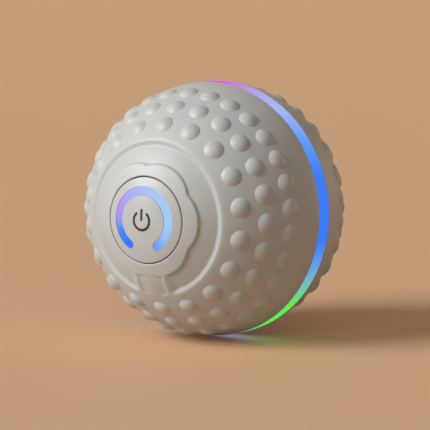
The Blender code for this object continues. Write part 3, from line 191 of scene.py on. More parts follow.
class Finish(Wiring):
    """A named material, worked out from Object coordinates."""

    def __init__(self, name, colour, roughness, metallic=0.0):
        self.material = bpy.data.materials.new(name)
        super().__init__(self.material, "Principled BSDF")
        self.feed("Base Color", (*colour, 1))
        self.feed("Roughness", roughness)
        self.feed("Metallic", metallic)
        self.place = self.add("ShaderNodeTexCoord", {}, {}, "Object")

    def axis(self, letter):
        return self.add("ShaderNodeSeparateXYZ", {}, {0: self.place}, letter)

    def vector(self, x, y, z):
        return self.add("ShaderNodeCombineXYZ", {}, {0: x, 1: y, 2: z})

    def grain(self, size, detail=2.0, place=None):
        """Soft random spots of a size, from 0 to 1."""
        spots = {"Vector": place or self.place, "Scale": 1 / size, "Detail": detail}
        return self.add("ShaderNodeTexNoise", {}, spots)

    def ranged(self, value, start, end):
        """0 where the value is at the start, 1 where it is at the end."""
        return self.add("ShaderNodeMapRange", {}, {0: value, 1: start, 2: end})

    def relief(self, height, depth):
        """Fine bumps of a depth, which only the light shows."""
        bumps = {"Strength": 1, "Distance": depth, "Height": height}
        self.feed("Normal", self.add("ShaderNodeBump", {}, bumps))

    def coat(self, *pieces):
        """Puts the finish on every face of the pieces."""
        for piece in pieces:
            if not piece.material_slots:
                piece.data.materials.append(self.material)
            for material_slot in piece.material_slots:
                material_slot.material = self.material


def shade(colour, share):
    """The same colour, darker or paler."""
    return tuple(share * part for part in colour)


room = bpy.data.worlds.new("room")
scene.world = room
air = Wiring(room, "Background")
air.feed("Color", air.tint(air.seen(), shade(room_colour, room_strength), seen_room_colour))
air.feed("Strength", 1.0)

bpy.ops.object.select_all(action="DESELECT")
bpy.ops.mesh.primitive_circle_add(
    vertices=floor_sides,
    radius=floor_reach,
    fill_type="NGON",
    location=(0, 0, -ball_radius - floor_drop),
)
floor = bpy.context.object
floor.name = "floor"
floor_paint = Finish("floor_paint", floor_colour, floor_roughness)
seen = floor_paint.seen()
lifted = shade(seen_floor_colour, floor_lift)
floor_paint.feed("Base Color", floor_paint.tint(seen, floor_colour, seen_floor_colour))
floor_paint.feed("Emission Color", floor_paint.tint(seen, (0, 0, 0), lifted))
floor_paint.feed("Emission Strength", 1.0)
floor_paint.coat(floor)


# Hard mouldings inside the ball: the motor, cell, boards and weight sit in a white two-part case that
# hangs on the axle, and two dark liners round it carry the rubber skins. Case, liners and cell holder
# are injection moulded, with a fine spark-eroded texture.
case_white = (0.74, 0.74, 0.71)
liner_grey = (0.085, 0.085, 0.09)
cloud_size = 7 * mm
cloud_share = 0.7
paler_share = 1.06
darker_share = 0.9
gloss_change = 0.06


def moulded(name, colour, roughness, texture, depth):
    """Moulded plastic: faint flow clouds, and the fine pitted texture of the mould."""
    plastic = Finish(name, colour, roughness)
    clouds = plastic.grain(cloud_size)
    pits = plastic.grain(texture, detail=3.0)
    mottle = clouds * cloud_share + pits * (1 - cloud_share)
    paler, darker = shade(colour, paler_share), shade(colour, darker_share)
    plastic.feed("Base Color", plastic.tint(mottle, paler, darker))
    plastic.feed("Roughness", roughness - gloss_change + pits * (2 * gloss_change))
    plastic.relief(pits, depth)
    return plastic


def coat_nodes(finish, *names):
    """Puts a finish on solids that keep their own shape."""
    finish.coat(*(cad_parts[name] for name in names))


coat_nodes(
    moulded("case_plastic", case_white, roughness=0.42, texture=0.30 * mm, depth=0.010 * mm),
    "front_core_case",
    "rear_core_case",
)
coat_nodes(
    moulded("liner_plastic", liner_grey, roughness=0.48, texture=0.45 * mm, depth=0.020 * mm),
    "front_shell",
    "rear_shell",
    "battery_holder",
)


# Gears, bearings, plunger and connector: white acetal, a slippery plastic with a soft sheen, moulded
# smooth. It lets a little light into itself.
acetal_white = (0.82, 0.82, 0.77)
acetal_scatter = 0.08
acetal_scatter_reach = (1.0 * mm, 0.9 * mm, 0.7 * mm)

acetal = moulded("white_acetal", acetal_white, roughness=0.34, texture=0.22 * mm, depth=0.004 * mm)
acetal.feed("Subsurface Weight", acetal_scatter)
acetal.feed("Subsurface Radius", acetal_scatter_reach)
coat_nodes(
    acetal,
    "front_bearing",
    "rear_bearing",
    "ring_gear",
    "drive_gear",
    "idler_gear",
    "motor_pinion",
    "switch_plunger",
    "battery_connector",
)


# Metal parts: turned steel axles, screws and shaft, the motor's and sensor's drawn cans, and the pressed
# shell of the charging socket. The weight is a rough segment of cut steel plate.
steel_grey = (0.62, 0.62, 0.63)
weight_grey = (0.33, 0.335, 0.345)
blotch_size = 3 * mm
line_share = 0.6
line_stretch = 0.6
bright_share = 1.12
dull_share = 0.78
polish = 0.1
handling = 0.12


def worked_metal(name, colour, roughness, line, depth):
    """Bare metal with fine tool lines round the axle, and blotches of handling."""
    metal = Finish(name, colour, roughness, metallic=1.0)
    aside = metal.vector(metal.axis("X"), 0, metal.axis("Z"))
    from_axle = metal.add("ShaderNodeVectorMath", {"operation": "LENGTH"}, {0: aside}, "Value")
    along = metal.axis("Y") * line_stretch
    lines = metal.grain(line, place=metal.vector(from_axle, along, 0))
    blotches = metal.grain(blotch_size, detail=3.0)
    mottle = lines * line_share + blotches * (1 - line_share)
    metal.feed("Base Color", metal.tint(mottle, shade(colour, bright_share), shade(colour, dull_share)))
    metal.feed("Roughness", roughness - polish + lines * polish + blotches * handling)
    metal.relief(lines, depth)
    return metal


coat_nodes(
    worked_metal("bright_steel", steel_grey, roughness=0.28, line=0.12 * mm, depth=0.003 * mm),
    *(f"ring_screw_{i}" for i in (1, 2, 3)),
    *(f"case_screw_{i}" for i in (1, 2, 3, 4)),
    "drive_axle",
    "idler_axle",
    "motor",
    "motor_shaft",
    "motion_sensor",
    "charging_socket",
)
coat_nodes(
    worked_metal("weight_steel", weight_grey, roughness=0.45, line=0.5 * mm, depth=0.02 * mm),
    "counterweight",
)


# Cell, boards and leads: a round cell in blue shrink wrap, green boards with tinned pads, black moulded
# chips, and thin stranded leads in red and black insulation.
cell_blue = (0.035, 0.13, 0.42)
mask_green = (0.012, 0.115, 0.052)
track_green = (0.03, 0.21, 0.09)
pad_silver = (0.70, 0.70, 0.68)
chip_colour = (0.018, 0.018, 0.019)
lead_red = (0.52, 0.02, 0.012)
lead_black = (0.02, 0.02, 0.022)
track_pitch = 2.4 * mm
track_offset = 0.37
track_gap = 0.06
track_relief = 0.02 * mm
pad_pitch = 1.9 * mm
pad_scatter = 0.5
pad_reach = 0.17
pad_shine = 0.9
mask_roughness = 0.26
mask_grain = 0.6 * mm
mask_change = 0.1

wrap = moulded("cell_wrap", cell_blue, roughness=0.3, texture=1.4 * mm, depth=0.03 * mm)
coat_nodes(wrap, "battery")

board = Finish("circuit_board", mask_green, mask_roughness)
flat_place = board.vector(board.axis("X"), board.axis("Z"), board.axis("Y"))
tracks = board.add(
    "ShaderNodeTexBrick",
    {"offset": track_offset},
    {"Vector": flat_place, "Scale": 1 / track_pitch, "Mortar Size": track_gap},
    "Fac",
)
to_pad = board.add(
    "ShaderNodeTexVoronoi",
    {},
    {"Vector": flat_place, "Scale": 1 / pad_pitch, "Randomness": pad_scatter},
    "Distance",
)
pads = to_pad < pad_reach
board.feed("Base Color", board.tint(pads, board.tint(tracks, mask_green, track_green), pad_silver))
board.feed("Metallic", pads * pad_shine)
board.feed("Roughness", mask_roughness + board.grain(mask_grain) * mask_change)
board.relief(tracks + pads, track_relief)
coat_nodes(board, "main_board", "button_board", "port_board", "lamp_strip")

coat_nodes(
    moulded("chip_black", chip_colour, roughness=0.4, texture=0.1 * mm, depth=0.006 * mm),
    "control_chip",
    "button_switch",
)
for lead_colour, insulation in (("red", lead_red), ("black", lead_black)):
    coat_nodes(
        moulded(f"{lead_colour}_lead", insulation, roughness=0.36, texture=0.5 * mm, depth=0.008 * mm),
        *(f"{start}_lead_{lead_colour}" for start in ("button", "battery", "motor")),
    )


# Light ring: a band of milky plastic flush between the two skins, lit from behind by the lamp strip.
# Its colour runs round the ball, and a flange under each skin keeps it in its place.
band_half_width = 2.66 * mm
ring_seam = 0.07 * mm
ring_half_width = band_half_width - ring_seam
ring_round = 0.1 * mm
ring_steps = 288
band_steps = 12
merge_distance = 0.001 * mm
sharp_edge = math.radians(32)
flange_half_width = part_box("light_ring")[1].y
flange_outer = 35.88 * mm
flange_wall = 1.5 * mm
flange_inner = flange_outer - flange_wall
flange_step = 0.2 * mm
milky_grey = (0.5, 0.5, 0.5)
milky_roughness = 0.65
milky_gloss = 0.16
milky_cloud = 2.5 * mm
unlit_share = 0.93
unlit_colour = (0.01, 0.01, 0.015)
cloud_dimming = 0.25
dim_share = 0.35
dim_colour = (0, 0, 0.02)
ring_glow = 0.98
ring_colours = (
    (0.000, (0.76, 0.01, 1.00)),
    (0.022, (0.62, 0.11, 0.90)),
    (0.055, (0.45, 0.33, 0.87)),
    (0.100, (0.36, 0.50, 0.93)),
    (0.155, (0.11, 0.33, 0.96)),
    (0.200, (0.034, 0.20, 0.98)),
    (0.280, (0.034, 0.20, 0.98)),
    (0.312, (0.11, 0.35, 0.86)),
    (0.340, (0.17, 0.55, 0.55)),
    (0.370, (0.12, 0.85, 0.10)),
    (0.420, (0.10, 0.92, 0.12)),
    (0.455, (0.16, 0.45, 0.95)),
    (0.510, (0.26, 0.24, 1.00)),
    (0.600, (0.05, 0.40, 1.00)),
    (0.700, (0.04, 0.22, 0.98)),
    (0.800, (0.20, 0.30, 0.96)),
    (0.900, (0.48, 0.18, 0.95)),
    (1.000, (0.76, 0.01, 1.00)),
)


def turned(name, outline, steps, closed=True):
    """Turns an outline round the axle. Its points are a distance from the axle and a place along it.

    An outline that isn't closed has both its ends on the axle.
    """
    bpy.ops.object.select_all(action="DESELECT")
    bpy.ops.mesh.primitive_circle_add(vertices=len(outline), radius=ball_radius)
    piece = bpy.context.object
    piece.name = name
    for vertex, (across, along) in zip(piece.data.vertices, outline):
        vertex.co = (across, along, 0)
    bpy.ops.object.mode_set(mode="EDIT")
    if not closed:
        bpy.ops.mesh.select_all(action="DESELECT")
        drawn = bmesh.from_edit_mesh(piece.data)
        drawn.verts.ensure_lookup_table()
        ends = {drawn.verts[0], drawn.verts[len(outline) - 1]}
        for edge in drawn.edges:
            edge.select_set(set(edge.verts) == ends)
        bmesh.update_edit_mesh(piece.data)
        bpy.ops.mesh.delete(type="EDGE")
    bpy.ops.mesh.select_all(action="SELECT")
    bpy.ops.mesh.spin(steps=steps, angle=2 * math.pi, center=(0, 0, 0), axis=(0, 1, 0))
    bpy.ops.mesh.select_all(action="SELECT")
    bpy.ops.mesh.remove_doubles(threshold=merge_distance)
    bpy.ops.mesh.normals_make_consistent(inside=False)
    bpy.ops.object.mode_set(mode="OBJECT")
    bpy.ops.object.shade_smooth_by_angle(angle=sharp_edge)
    return piece


def lit_plastic(name, colours, glow):
    """Milky plastic with light behind it: the colour follows the turn round the axle, from the top."""
    plastic = Finish(name, milky_grey, milky_roughness)
    turn = plastic.add(
        "ShaderNodeMath", {"operation": "ARCTAN2"}, {0: plastic.axis("X"), 1: plastic.axis("Z")}
    )
    share = plastic.add("ShaderNodeMath", {"operation": "FRACT"}, {0: turn / (2 * math.pi) + 1})
    colour = plastic.add("ShaderNodeValToRGB", {"stops": colours}, {0: share})
    clouds = plastic.grain(milky_cloud)
    dim = plastic.tint(dim_share, colour, dim_colour)
    plastic.feed("Base Color", plastic.tint(unlit_share, colour, unlit_colour))
    plastic.feed("Emission Color", plastic.tint(clouds * cloud_dimming, colour, dim))
    plastic.feed("Emission Strength", glow)
    plastic.feed("Specular IOR Level", milky_gloss)
    return plastic


band = []
for i in range(band_steps + 1):
    along = (ring_half_width - ring_round) * (2 * i / band_steps - 1)
    band.append((math.sqrt(ball_radius**2 - along**2), along))
foot = math.sqrt(ball_radius**2 - ring_half_width**2) - ring_round
light_band = turned(
    "light_band",
    [(foot, -ring_half_width)]
    + band
    + [
        (foot, ring_half_width),
        (flange_outer + flange_step, ring_half_width),
        (flange_outer, flange_half_width),
        (flange_inner, flange_half_width),
        (flange_inner, -flange_half_width),
        (flange_outer, -flange_half_width),
        (flange_outer + flange_step, -ring_half_width),
    ],
    ring_steps,
)
lit_plastic("light_band", ring_colours, ring_glow).coat(light_band)
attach(light_band, "shell")
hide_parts("light_ring")


# Rubber skins: two soft mouldings stretched over the hard liners, one on each half of the ball. Each has
# three rows of low round studs, and a C-shaped recess round a scalloped island at its pole, whose floor
# sinks towards its outer ledge and rises to the tab, which has a shallow line along each side.
skin_columns = 512
ring_counts = (4, 9, 12, 10, 1, 5, 1, 30, 4)
skin_cuts = 12
skin_wall = 2.0 * mm
skin_inner = ball_radius - skin_wall
inner_slack = 0.01 * mm
skin_seam = 0.15 * mm
skin_rim = band_half_width + skin_seam
hole_radius = 12.84 * mm
rim_round = 0.22 * mm
recess_depth = 0.82 * mm
recess_edge = math.radians(36.15)
recess_ledge = math.radians(34.6)
edge_round = 0.05 * mm
island_notch = 15.35 * mm
island_rise = 1.5 * mm
island_lobes = 6
island_notch_softness = 0.012
island_lobe_fullness = 0.35
island_wall = 1.0 * mm
island_wall_lead = 0.2
island_wall_start = 0.25 * island_wall
island_wall_end = 1.1 * island_wall
island_depth = 0.80
tab_half_width = 4.05 * mm
tab_wall = 0.56 * mm
tab_slope = 3.6 * mm
tab_dip = 0.22 * mm
tab_fade = 0.9 * mm
tab_columns = 16
tab_wall_columns = 2
even_from = 3 * tab_columns
stud_rows = ((math.radians(44.7), 18), (math.radians(56.1), 24), (math.radians(67.9), 30))
stud_turn = math.radians(0.65)
stud_radius = 2.94 * mm
stud_height = 0.95 * mm
stud_root = 0.6 * mm
stud_sides = 28
stud_rings = 7
carved_edge = math.radians(28)
rubber_colour = (0.62, 0.625, 0.612)
rubber_shade_share = 0.88
rubber_cloud = 9 * mm
rubber_cloud_share = 0.5
rubber_speckle = 0.35 * mm
rubber_speckle_share = 0.25
rubber_grain_depth = 0.010 * mm
rubber_roughness = 0.38
speckle_roughness = 0.10
cloud_roughness = 0.04
rubber_gloss = 0.55
worn_from = 0.5 * mm
worn_gloss = 0.05
# The rubber's colour turns a little darker from just under the skin's face down to the recess floor.
recess_dark_colour = (0.30, 0.27, 0.24)
recess_dark_share = 0.08
recess_dark_from = 0.1 * mm


def eased(share):
    """A share that leaves 0 and reaches 1 softly."""
    share = max(0.0, min(1.0, share))
    return share * share * (3 - 2 * share)


def island_edge(turn):
    """Distance of the scalloped edge from the axle, with a soft notch at the top."""
    swell = (math.sin(turn * island_lobes / 2) ** 2 + island_notch_softness) ** island_lobe_fullness
    return island_notch + island_rise * swell


def skin_rings(turn):
    """Angles from the pole of the skin's rings, close together where an edge is."""
    island = math.asin(island_edge(turn) / ball_radius)
    hole = math.asin(hole_radius / ball_radius)
    band = math.acos(skin_rim / ball_radius)
    soft = edge_round / ball_radius
    starts = (
        hole,
        hole + rim_round / ball_radius,
        island - island_wall_start / ball_radius,
        island + island_wall_end / ball_radius,
        recess_ledge - soft,
        recess_ledge + soft,
        recess_edge - soft,
        recess_edge + soft,
        band - rim_round / ball_radius,
    )
    rings = []
    for start, end, count in zip(starts, starts[1:] + (band,), ring_counts):
        rings += [start + (end - start) * i / count for i in range(count)]
    return rings + [band]


def turn_of_column(column, from_axle):
    """Turn round the pole, with columns drawn along the straight sides of the tab."""
    reach = min(max(from_axle, island_notch), ball_radius * math.sin(recess_edge))
    step = 2 * math.pi / skin_columns
    off = column - skin_columns / 2
    count = abs(off)
    if count <= tab_columns:
        turn = math.asin(tab_half_width / reach) * count / tab_columns
    elif count <= tab_columns + tab_wall_columns:
        past_side = tab_wall * (count - tab_columns) / tab_wall_columns
        turn = math.asin((tab_half_width + past_side) / reach)
    elif count < even_from:
        start = math.asin((tab_half_width + tab_wall) / reach)
        past_wall = count - tab_columns - tab_wall_columns
        share = past_wall / (even_from - tab_columns - tab_wall_columns)
        turn = start + (even_from * step - start) * share
    else:
        turn = count * step
    return math.copysign(turn, off) + math.pi


def skin_height(from_pole, turn):
    """Distance of the skin's face from the ball's centre."""
    across = ball_radius * math.sin(from_pole) * math.sin(turn)
    past_island = ball_radius * (from_pole - math.asin(island_edge(turn) / ball_radius))
    floor_width = ball_radius * recess_ledge - island_notch - island_rise
    to_ledge = max(0.0, min(1.0, past_island / floor_width))
    sunk = eased(past_island / island_wall + island_wall_lead)
    sunk *= island_depth + (1 - island_depth) * to_ledge
    sunk *= max(0.0, min(1.0, (recess_edge - from_pole) / (recess_edge - recess_ledge)))
    dip = 0.0
    if math.cos(turn) < 0:
        beside = abs(across) - tab_half_width
        sunk *= eased((beside - tab_wall) / tab_slope)
        dip = eased(past_island / tab_fade)
        dip *= eased((recess_edge - from_pole) * ball_radius / tab_fade)
        dip *= tab_dip * (1 - eased(beside / tab_wall)) * eased(1 + beside / tab_half_width)
    height = ball_radius - recess_depth * sunk - dip
    hole = math.asin(hole_radius / ball_radius)
    band = math.acos(skin_rim / ball_radius)
    for edge in ((from_pole - hole) * ball_radius, (band - from_pole) * ball_radius):
        if edge < rim_round:
            height -= rim_round - math.sqrt(max(0.0, rim_round**2 - (rim_round - edge) ** 2))
    return height


def select_rim(skin, near_pole):
    """Selects the open edge at the pole's hole, or the one beside the light ring."""
    bpy.ops.mesh.select_mode(type="EDGE")
    bpy.ops.mesh.select_all(action="DESELECT")
    drawn = bmesh.from_edit_mesh(skin.data)
    halfway = -ball_radius / 2
    for edge in drawn.edges:
        middle = (edge.verts[0].co + edge.verts[1].co) / 2
        if edge.is_boundary and (middle.y < halfway) == near_pole:
            edge.select_set(True)
    bmesh.update_edit_mesh(skin.data)


def wrap_skin(name):
    """The front half of the skin, as one closed moulding without its studs."""
    turns = [2 * math.pi * column / skin_columns for column in range(skin_columns + 1)]
    rings = [skin_rings(turn) for turn in turns]
    last_ring = len(rings[0]) - 1
    bpy.ops.object.select_all(action="DESELECT")
    bpy.ops.mesh.primitive_grid_add(x_subdivisions=skin_columns, y_subdivisions=last_ring, size=1)
    skin = bpy.context.object
    skin.name = name
    for vertex in skin.data.vertices:
        column = round((vertex.co.x + 0.5) * skin_columns)
        ring = round((vertex.co.y + 0.5) * last_ring)
        from_pole = rings[column][ring]
        turn = turn_of_column(column, ball_radius * math.sin(from_pole))
        height = skin_height(from_pole, turn)
        vertex.co = (
            height * math.sin(from_pole) * math.sin(turn),
            -height * math.cos(from_pole),
            height * math.sin(from_pole) * math.cos(turn),
        )
    hole_depth = math.sqrt(ball_radius**2 - hole_radius**2)
    hole_depth -= math.sqrt(skin_inner**2 - hole_radius**2)
    rim = math.sqrt(ball_radius**2 - skin_rim**2) - rim_round
    inner_rim = math.sqrt(skin_inner**2 - skin_rim**2)
    bpy.ops.object.mode_set(mode="EDIT")
    bpy.ops.mesh.select_all(action="SELECT")
    bpy.ops.mesh.remove_doubles(threshold=merge_distance)
    select_rim(skin, near_pole=True)
    inwards = (0, hole_depth - rim_round, 0)
    bpy.ops.mesh.extrude_region_move(TRANSFORM_OT_translate={"value": inwards})
    select_rim(skin, near_pole=False)
    bpy.ops.mesh.extrude_region_move()
    narrower = inner_rim / rim
    bpy.ops.transform.resize(value=(narrower, 1, narrower), center_override=(0, 0, 0))
    bpy.ops.mesh.select_all(action="DESELECT")
    bpy.ops.mesh.select_non_manifold()
    bpy.ops.mesh.bridge_edge_loops(number_cuts=skin_cuts)
    bpy.ops.mesh.select_all(action="SELECT")
    bpy.ops.object.mode_set(mode="OBJECT")
    for vertex in skin.data.vertices:
        if vertex.co.length < skin_inner - inner_slack:
            vertex.co *= skin_inner / vertex.co.length
    bpy.ops.object.mode_set(mode="EDIT")
    bpy.ops.mesh.normals_make_consistent(inside=False)
    bpy.ops.object.mode_set(mode="OBJECT")
    return skin


def all_studs():
    """One stud, turned at the pole as a low dome with a root, and its copies in their rows."""
    rise = stud_height + stud_radius**2 / (2 * ball_radius)
    dome = (stud_radius**2 + rise**2) / (2 * rise)
    lean = math.asin(stud_radius / dome)
    centre = ball_radius + stud_height - dome
    outline = [
        (dome * math.sin(lean * i / stud_rings), -centre - dome * math.cos(lean * i / stud_rings))
        for i in range(stud_rings + 1)
    ]
    root = ball_radius - stud_root
    first = turned("studs", outline + [(stud_radius, -root), (0, -root)], stud_sides, closed=False)
    at_pole = first.data.copy()
    copies = []
    for from_pole, count in stud_rows:
        for i in range(count):
            mesh = at_pole.copy()
            turn = 2 * math.pi * i / count + stud_turn
            mesh.transform(Matrix.Rotation(turn, 4, "Y") @ Matrix.Rotation(-from_pole, 4, "X"))
            copies.append(bpy.data.objects.new("stud", mesh))
            scene.collection.objects.link(copies[-1])
            copies[-1].select_set(True)
    first.data = copies[-1].data.copy()
    bpy.data.objects.remove(copies[-1], do_unlink=True)
    bpy.ops.object.join()
    return first


def carved(piece, tools, operation="DIFFERENCE"):
    """Cuts tools out of a piece, or joins them to it, and sets its soft and sharp edges."""
    bpy.ops.object.select_all(action="DESELECT")
    piece.select_set(True)
    bpy.context.view_layer.objects.active = piece
    for tool in tools:
        change = piece.modifiers.new("carve", "BOOLEAN")
        change.operation = operation
        change.solver = "MANIFOLD"
        change.object = tool
        bpy.ops.object.modifier_apply(modifier=change.name)
        bpy.data.objects.remove(tool, do_unlink=True)
    bpy.ops.object.shade_smooth_by_angle(angle=carved_edge)
    return piece


def soft_rubber(name, colour):
    """Matt warm grey rubber: a fine grain, faint clouds, stud tops rubbed a little smoother, and a colour
    a little darker towards the recess floor.
    """
    rubber = Finish(name, colour, rubber_roughness)
    clouds = rubber.grain(rubber_cloud)
    speckle = rubber.grain(rubber_speckle, detail=3.0)
    measure = {"operation": "LENGTH"}
    from_centre = rubber.add("ShaderNodeVectorMath", measure, {0: rubber.place}, "Value")
    worn = rubber.ranged(from_centre, ball_radius + worn_from, ball_radius + stud_height)
    # Share that grows from just under the skin's face to the recess floor, where the colour is darkened a
    # little.
    low = rubber.ranged(from_centre, ball_radius - recess_dark_from, ball_radius - recess_depth)
    mottle = clouds * rubber_cloud_share + speckle * rubber_speckle_share
    base = rubber.tint(mottle, colour, shade(colour, rubber_shade_share))
    rough = rubber_roughness + speckle * speckle_roughness + clouds * cloud_roughness
    rubber.feed("Base Color", rubber.tint(low * recess_dark_share, base, recess_dark_colour))
    rubber.feed("Roughness", rough - worn * worn_gloss)
    rubber.relief(speckle, rubber_grain_depth)
    rubber.feed("Specular IOR Level", rubber_gloss)
    return rubber


grip_rubber = soft_rubber("grip_rubber", rubber_colour)
front_skin = carved(wrap_skin("front_skin"), [all_studs()], "UNION")
front_skin.data.materials.clear()
grip_rubber.coat(front_skin)
rear_skin = front_skin.copy()
rear_skin.data = front_skin.data.copy()
rear_skin.name = "rear_skin"
rear_skin.data.transform(Matrix.Rotation(math.pi, 4, "Z"))
scene.collection.objects.link(rear_skin)
for skin, node in ((front_skin, "front_grip_cover"), (rear_skin, "rear_grip_cover")):
    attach(skin, "shell")
    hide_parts(node)


# Power button: a round satin panel that closes the front pole and travels when it is pressed.
# A clear C-shaped guide is let into it and lit from the board behind, round a sunk power symbol.
panel_radius = 12.44 * mm
panel_sink = 0.05 * mm
panel_dome = ball_radius - panel_sink
panel_round = 0.32 * mm
panel_steps = 192
face_steps = 24
edge_steps = 6
skirt_height = 3.6 * mm
skirt_wall = 1.5 * mm
face_wall = 3.2 * mm
panel_rim = math.sqrt(panel_dome**2 - panel_radius**2)
panel_foot = panel_rim - skirt_height
panel_roof = panel_dome - face_wall
stem_radius = 2.2 * mm
stem_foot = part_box("switch_plunger")[0].y
inlay_gap = 0.1 * mm
inlay_rows = 12
inlay_end_columns = 8
overrun = 1.0 * mm
above = ball_radius + 2 * overrun
arc_middle = 8.56 * mm
arc_half_width = 1.25 * mm
arc_reach = math.radians(146.3)
arc_steps = 96
arc_round = 0.12 * mm
arc_sink = 0.12 * mm
arc_height = 3.25 * mm
arc_foot = panel_rim - arc_height
symbol_radius = 2.7 * mm
symbol_half_stroke = 0.3 * mm
symbol_opening = math.radians(42)
symbol_bar_foot = 0.36 * mm
symbol_bar_top = 3.1 * mm
symbol_steps = 48
symbol_round = 0.06 * mm
symbol_sink = 0.15 * mm
symbol_depth = 0.8 * mm
symbol_foot = panel_dome - symbol_depth
panel_colour = (0.60, 0.60, 0.585)
symbol_colour = (0.034, 0.027, 0.019)
arc_glow = 0.95
arc_colours = (
    (0.000, (0.41, 0.52, 0.88)),
    (0.060, (0.40, 0.56, 0.92)),
    (0.125, (0.38, 0.59, 0.94)),
    (0.250, (0.36, 0.61, 0.96)),
    (0.340, (0.29, 0.53, 0.96)),
    (0.400, (0.16, 0.39, 0.96)),
    (0.500, (0.06, 0.24, 1.00)),
    (0.600, (0.02, 0.17, 1.00)),
    (0.690, (0.05, 0.24, 1.00)),
    (0.740, (0.26, 0.31, 0.95)),
    (0.785, (0.50, 0.26, 0.92)),
    (0.825, (0.46, 0.31, 0.93)),
    (0.885, (0.39, 0.40, 0.92)),
    (1.000, (0.41, 0.52, 0.88)),
)


def rounded_dome(dome, reach, rounding):
    """Outline of a round cap's face, from the axle to the start of its wall, with a soft edge."""
    centre_across = reach - rounding
    centre_along = math.sqrt((dome - rounding) ** 2 - centre_across**2)
    lean = math.atan2(centre_across, centre_along)
    leans = [lean * i / face_steps for i in range(face_steps)]
    face = [(dome * math.sin(part), -dome * math.cos(part)) for part in leans]
    turns = [lean + (math.pi / 2 - lean) * i / edge_steps for i in range(edge_steps + 1)]
    return face + [
        (centre_across + rounding * math.sin(turn), -centre_along - rounding * math.cos(turn))
        for turn in turns
    ]


def inlay(name, spine, half_width, dome, foot, rounding=0.0):
    """A strip with round ends along a line of (x, z) points, from the front pole's dome to its foot."""
    columns = len(spine) - 1 + 2 * inlay_end_columns
    bpy.ops.object.select_all(action="DESELECT")
    bpy.ops.mesh.primitive_grid_add(x_subdivisions=columns, y_subdivisions=inlay_rows, size=1)
    strip = bpy.context.object
    strip.name = name
    for vertex in strip.data.vertices:
        column = round((vertex.co.x + 0.5) * columns) - inlay_end_columns
        share = round((vertex.co.y + 0.5) * inlay_rows) / inlay_rows
        station = max(0, min(len(spine) - 1, column))
        before, after = spine[max(0, station - 1)], spine[min(len(spine) - 1, station + 1)]
        length = math.hypot(after[0] - before[0], after[1] - before[1])
        along = ((after[0] - before[0]) / length, (after[1] - before[1]) / length)
        end = math.pi / 2 * (column - station) / inlay_end_columns
        past = half_width * math.sin(end)
        aside = half_width * math.cos(end) * math.sin(math.pi * (share - 0.5))
        x = spine[station][0] + past * along[0] - aside * along[1]
        z = spine[station][1] + past * along[1] + aside * along[0]
        to_edge = half_width - math.hypot(past, aside)
        fall = 0.0
        if to_edge < rounding:
            fall = rounding - math.sqrt(max(0.0, rounding**2 - (rounding - to_edge) ** 2))
        vertex.co = (x, fall - math.sqrt(dome**2 - x * x - z * z), z)
    bpy.ops.object.mode_set(mode="EDIT")
    bpy.ops.mesh.select_mode(type="EDGE")
    bpy.ops.mesh.select_all(action="SELECT")
    bpy.ops.mesh.remove_doubles(threshold=merge_distance)
    bpy.ops.mesh.select_all(action="DESELECT")
    bpy.ops.mesh.select_non_manifold()
    bpy.ops.mesh.extrude_region_move()
    bpy.ops.transform.resize(value=(1, 0, 1), center_override=(0, -foot, 0))
    bpy.ops.mesh.edge_face_add()
    bpy.ops.mesh.select_all(action="SELECT")
    bpy.ops.mesh.normals_make_consistent(inside=False)
    bpy.ops.object.mode_set(mode="OBJECT")
    bpy.ops.object.shade_smooth_by_angle(angle=sharp_edge)
    return strip


def ring_line(radius, start, end, count):
    """Points of a circle round the pole, from one turn to another, with 0 at the top."""
    turns = [start + (end - start) * i / count for i in range(count + 1)]
    return [(radius * math.sin(turn), radius * math.cos(turn)) for turn in turns]


arc_line = ring_line(arc_middle, -arc_reach, arc_reach, arc_steps)
symbol_line = ring_line(symbol_radius, symbol_opening, 2 * math.pi - symbol_opening, symbol_steps)
bar_line = [(0, symbol_bar_foot), (0, symbol_bar_top)]
pole_panel = turned(
    "pole_panel",
    rounded_dome(panel_dome, panel_radius, panel_round)
    + [
        (panel_radius, -panel_foot - panel_round),
        (panel_radius - panel_round, -panel_foot),
        (panel_radius - skirt_wall, -panel_foot),
        (panel_radius - skirt_wall, -panel_roof),
        (stem_radius, -panel_roof),
        (stem_radius, stem_foot - inlay_gap),
        (0, stem_foot - inlay_gap),
    ],
    panel_steps,
    closed=False,
)
symbol_slot = symbol_half_stroke + inlay_gap
carved(
    pole_panel,
    [
        inlay("slot", arc_line, arc_half_width + inlay_gap, above, panel_foot - overrun),
        inlay("slot", symbol_line, symbol_slot, above, symbol_foot - inlay_gap),
        inlay("slot", bar_line, symbol_slot, above, symbol_foot - inlay_gap),
    ],
)
light_arc = inlay("light_arc", arc_line, arc_half_width, panel_dome - arc_sink, arc_foot, arc_round)
symbol_dome = panel_dome - symbol_sink
symbol_pieces = [
    inlay(piece_name, line, symbol_half_stroke, symbol_dome, symbol_foot, symbol_round)
    for piece_name, line in (("symbol_ring", symbol_line), ("symbol_bar", bar_line))
]
panel_plastic = moulded(
    "panel_plastic", panel_colour, roughness=0.36, texture=0.25 * mm, depth=0.006 * mm
)
symbol_ink = moulded("symbol_ink", symbol_colour, roughness=0.42, texture=0.2 * mm, depth=0.006 * mm)
panel_plastic.coat(pole_panel)
lit_plastic("light_guide", arc_colours, arc_glow).coat(light_arc)
symbol_ink.coat(*symbol_pieces)
for piece, node, slot in (
    (pole_panel, "button_panel", "panel_plastic"),
    (light_arc, "arc_light_guide", "light_guide"),
    (symbol_pieces[0], "power_symbol_ring", "symbol_ink"),
    (symbol_pieces[1], "power_symbol_bar", "symbol_ink"),
):
    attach(piece, "power_button")
    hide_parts(node)


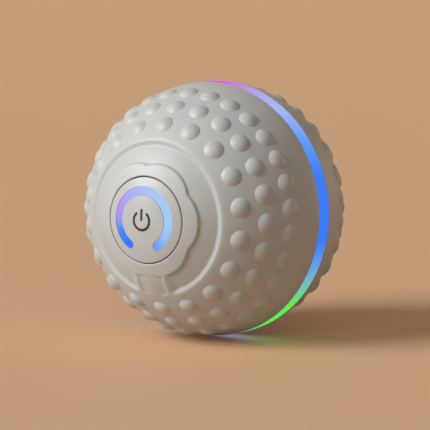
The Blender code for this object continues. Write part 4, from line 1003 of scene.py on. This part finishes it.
# Rear pole: a plain cap of the same plastic, fixed in the core's rear journal, with a pocket for the
# charging socket. A soft rubber plug fills the pocket flush, and its tongue fills the socket's mouth.
cap_wall = 1.1 * mm
cap_under = panel_rim - cap_wall
cap_shoulder = 9.1 * mm
spigot_step = 33.3 * mm
spigot_foot = 29.0 * mm
spigot_radius = 7.1 * mm
spigot_bore = 5.5 * mm
pocket_half_height = 3.7 * mm
pocket_half_line = 2.8 * mm
pocket_depth = 1.7 * mm
pocket_floor = panel_dome - pocket_depth
plug_gap = 0.15 * mm
plug_round = 0.25 * mm
socket_half_height = 1.93 * mm
socket_half_line = 2.84 * mm
tongue_half_height = 1.18 * mm
tongue_length = 5.5 * mm
tongue_foot = pocket_floor - tongue_length
plug_colour = (0.52, 0.52, 0.50)


def level_line(half_length):
    """The two ends of a line across the pole."""
    return [(-half_length, 0), (half_length, 0)]


rear_panel = turned(
    "rear_panel",
    rounded_dome(panel_dome, panel_radius, panel_round)
    + [
        (panel_radius, -cap_under),
        (cap_shoulder, -cap_under),
        (cap_shoulder, -spigot_step),
        (spigot_radius, -spigot_step),
        (spigot_radius, -spigot_foot),
        (spigot_bore, -spigot_foot),
        (spigot_bore, -cap_under),
        (0, -cap_under),
    ],
    panel_steps,
    closed=False,
)
pocket_line = level_line(pocket_half_line)
socket_line = level_line(socket_half_line)
carved(
    rear_panel,
    [
        inlay("pocket", pocket_line, pocket_half_height, above, pocket_floor),
        inlay("pocket", socket_line, socket_half_height, above, cap_under - overrun),
    ],
)
rubber_plug = carved(
    inlay(
        "rubber_plug",
        pocket_line,
        pocket_half_height - plug_gap,
        panel_dome,
        pocket_floor + plug_gap,
        plug_round,
    ),
    [inlay("tongue", socket_line, tongue_half_height, panel_dome - overrun, tongue_foot)],
    "UNION",
)
panel_plastic.coat(rear_panel)
soft_rubber("plug_rubber", plug_colour).coat(rubber_plug)
for piece, body, node, slot in (
    (rear_panel, "core", "rear_cap", "panel_plastic"),
    (rubber_plug, "port_plug_body", "port_plug", "plug_rubber"),
):
    piece.data.transform(Matrix.Rotation(math.pi, 4, "Z"))
    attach(piece, body)
    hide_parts(node)
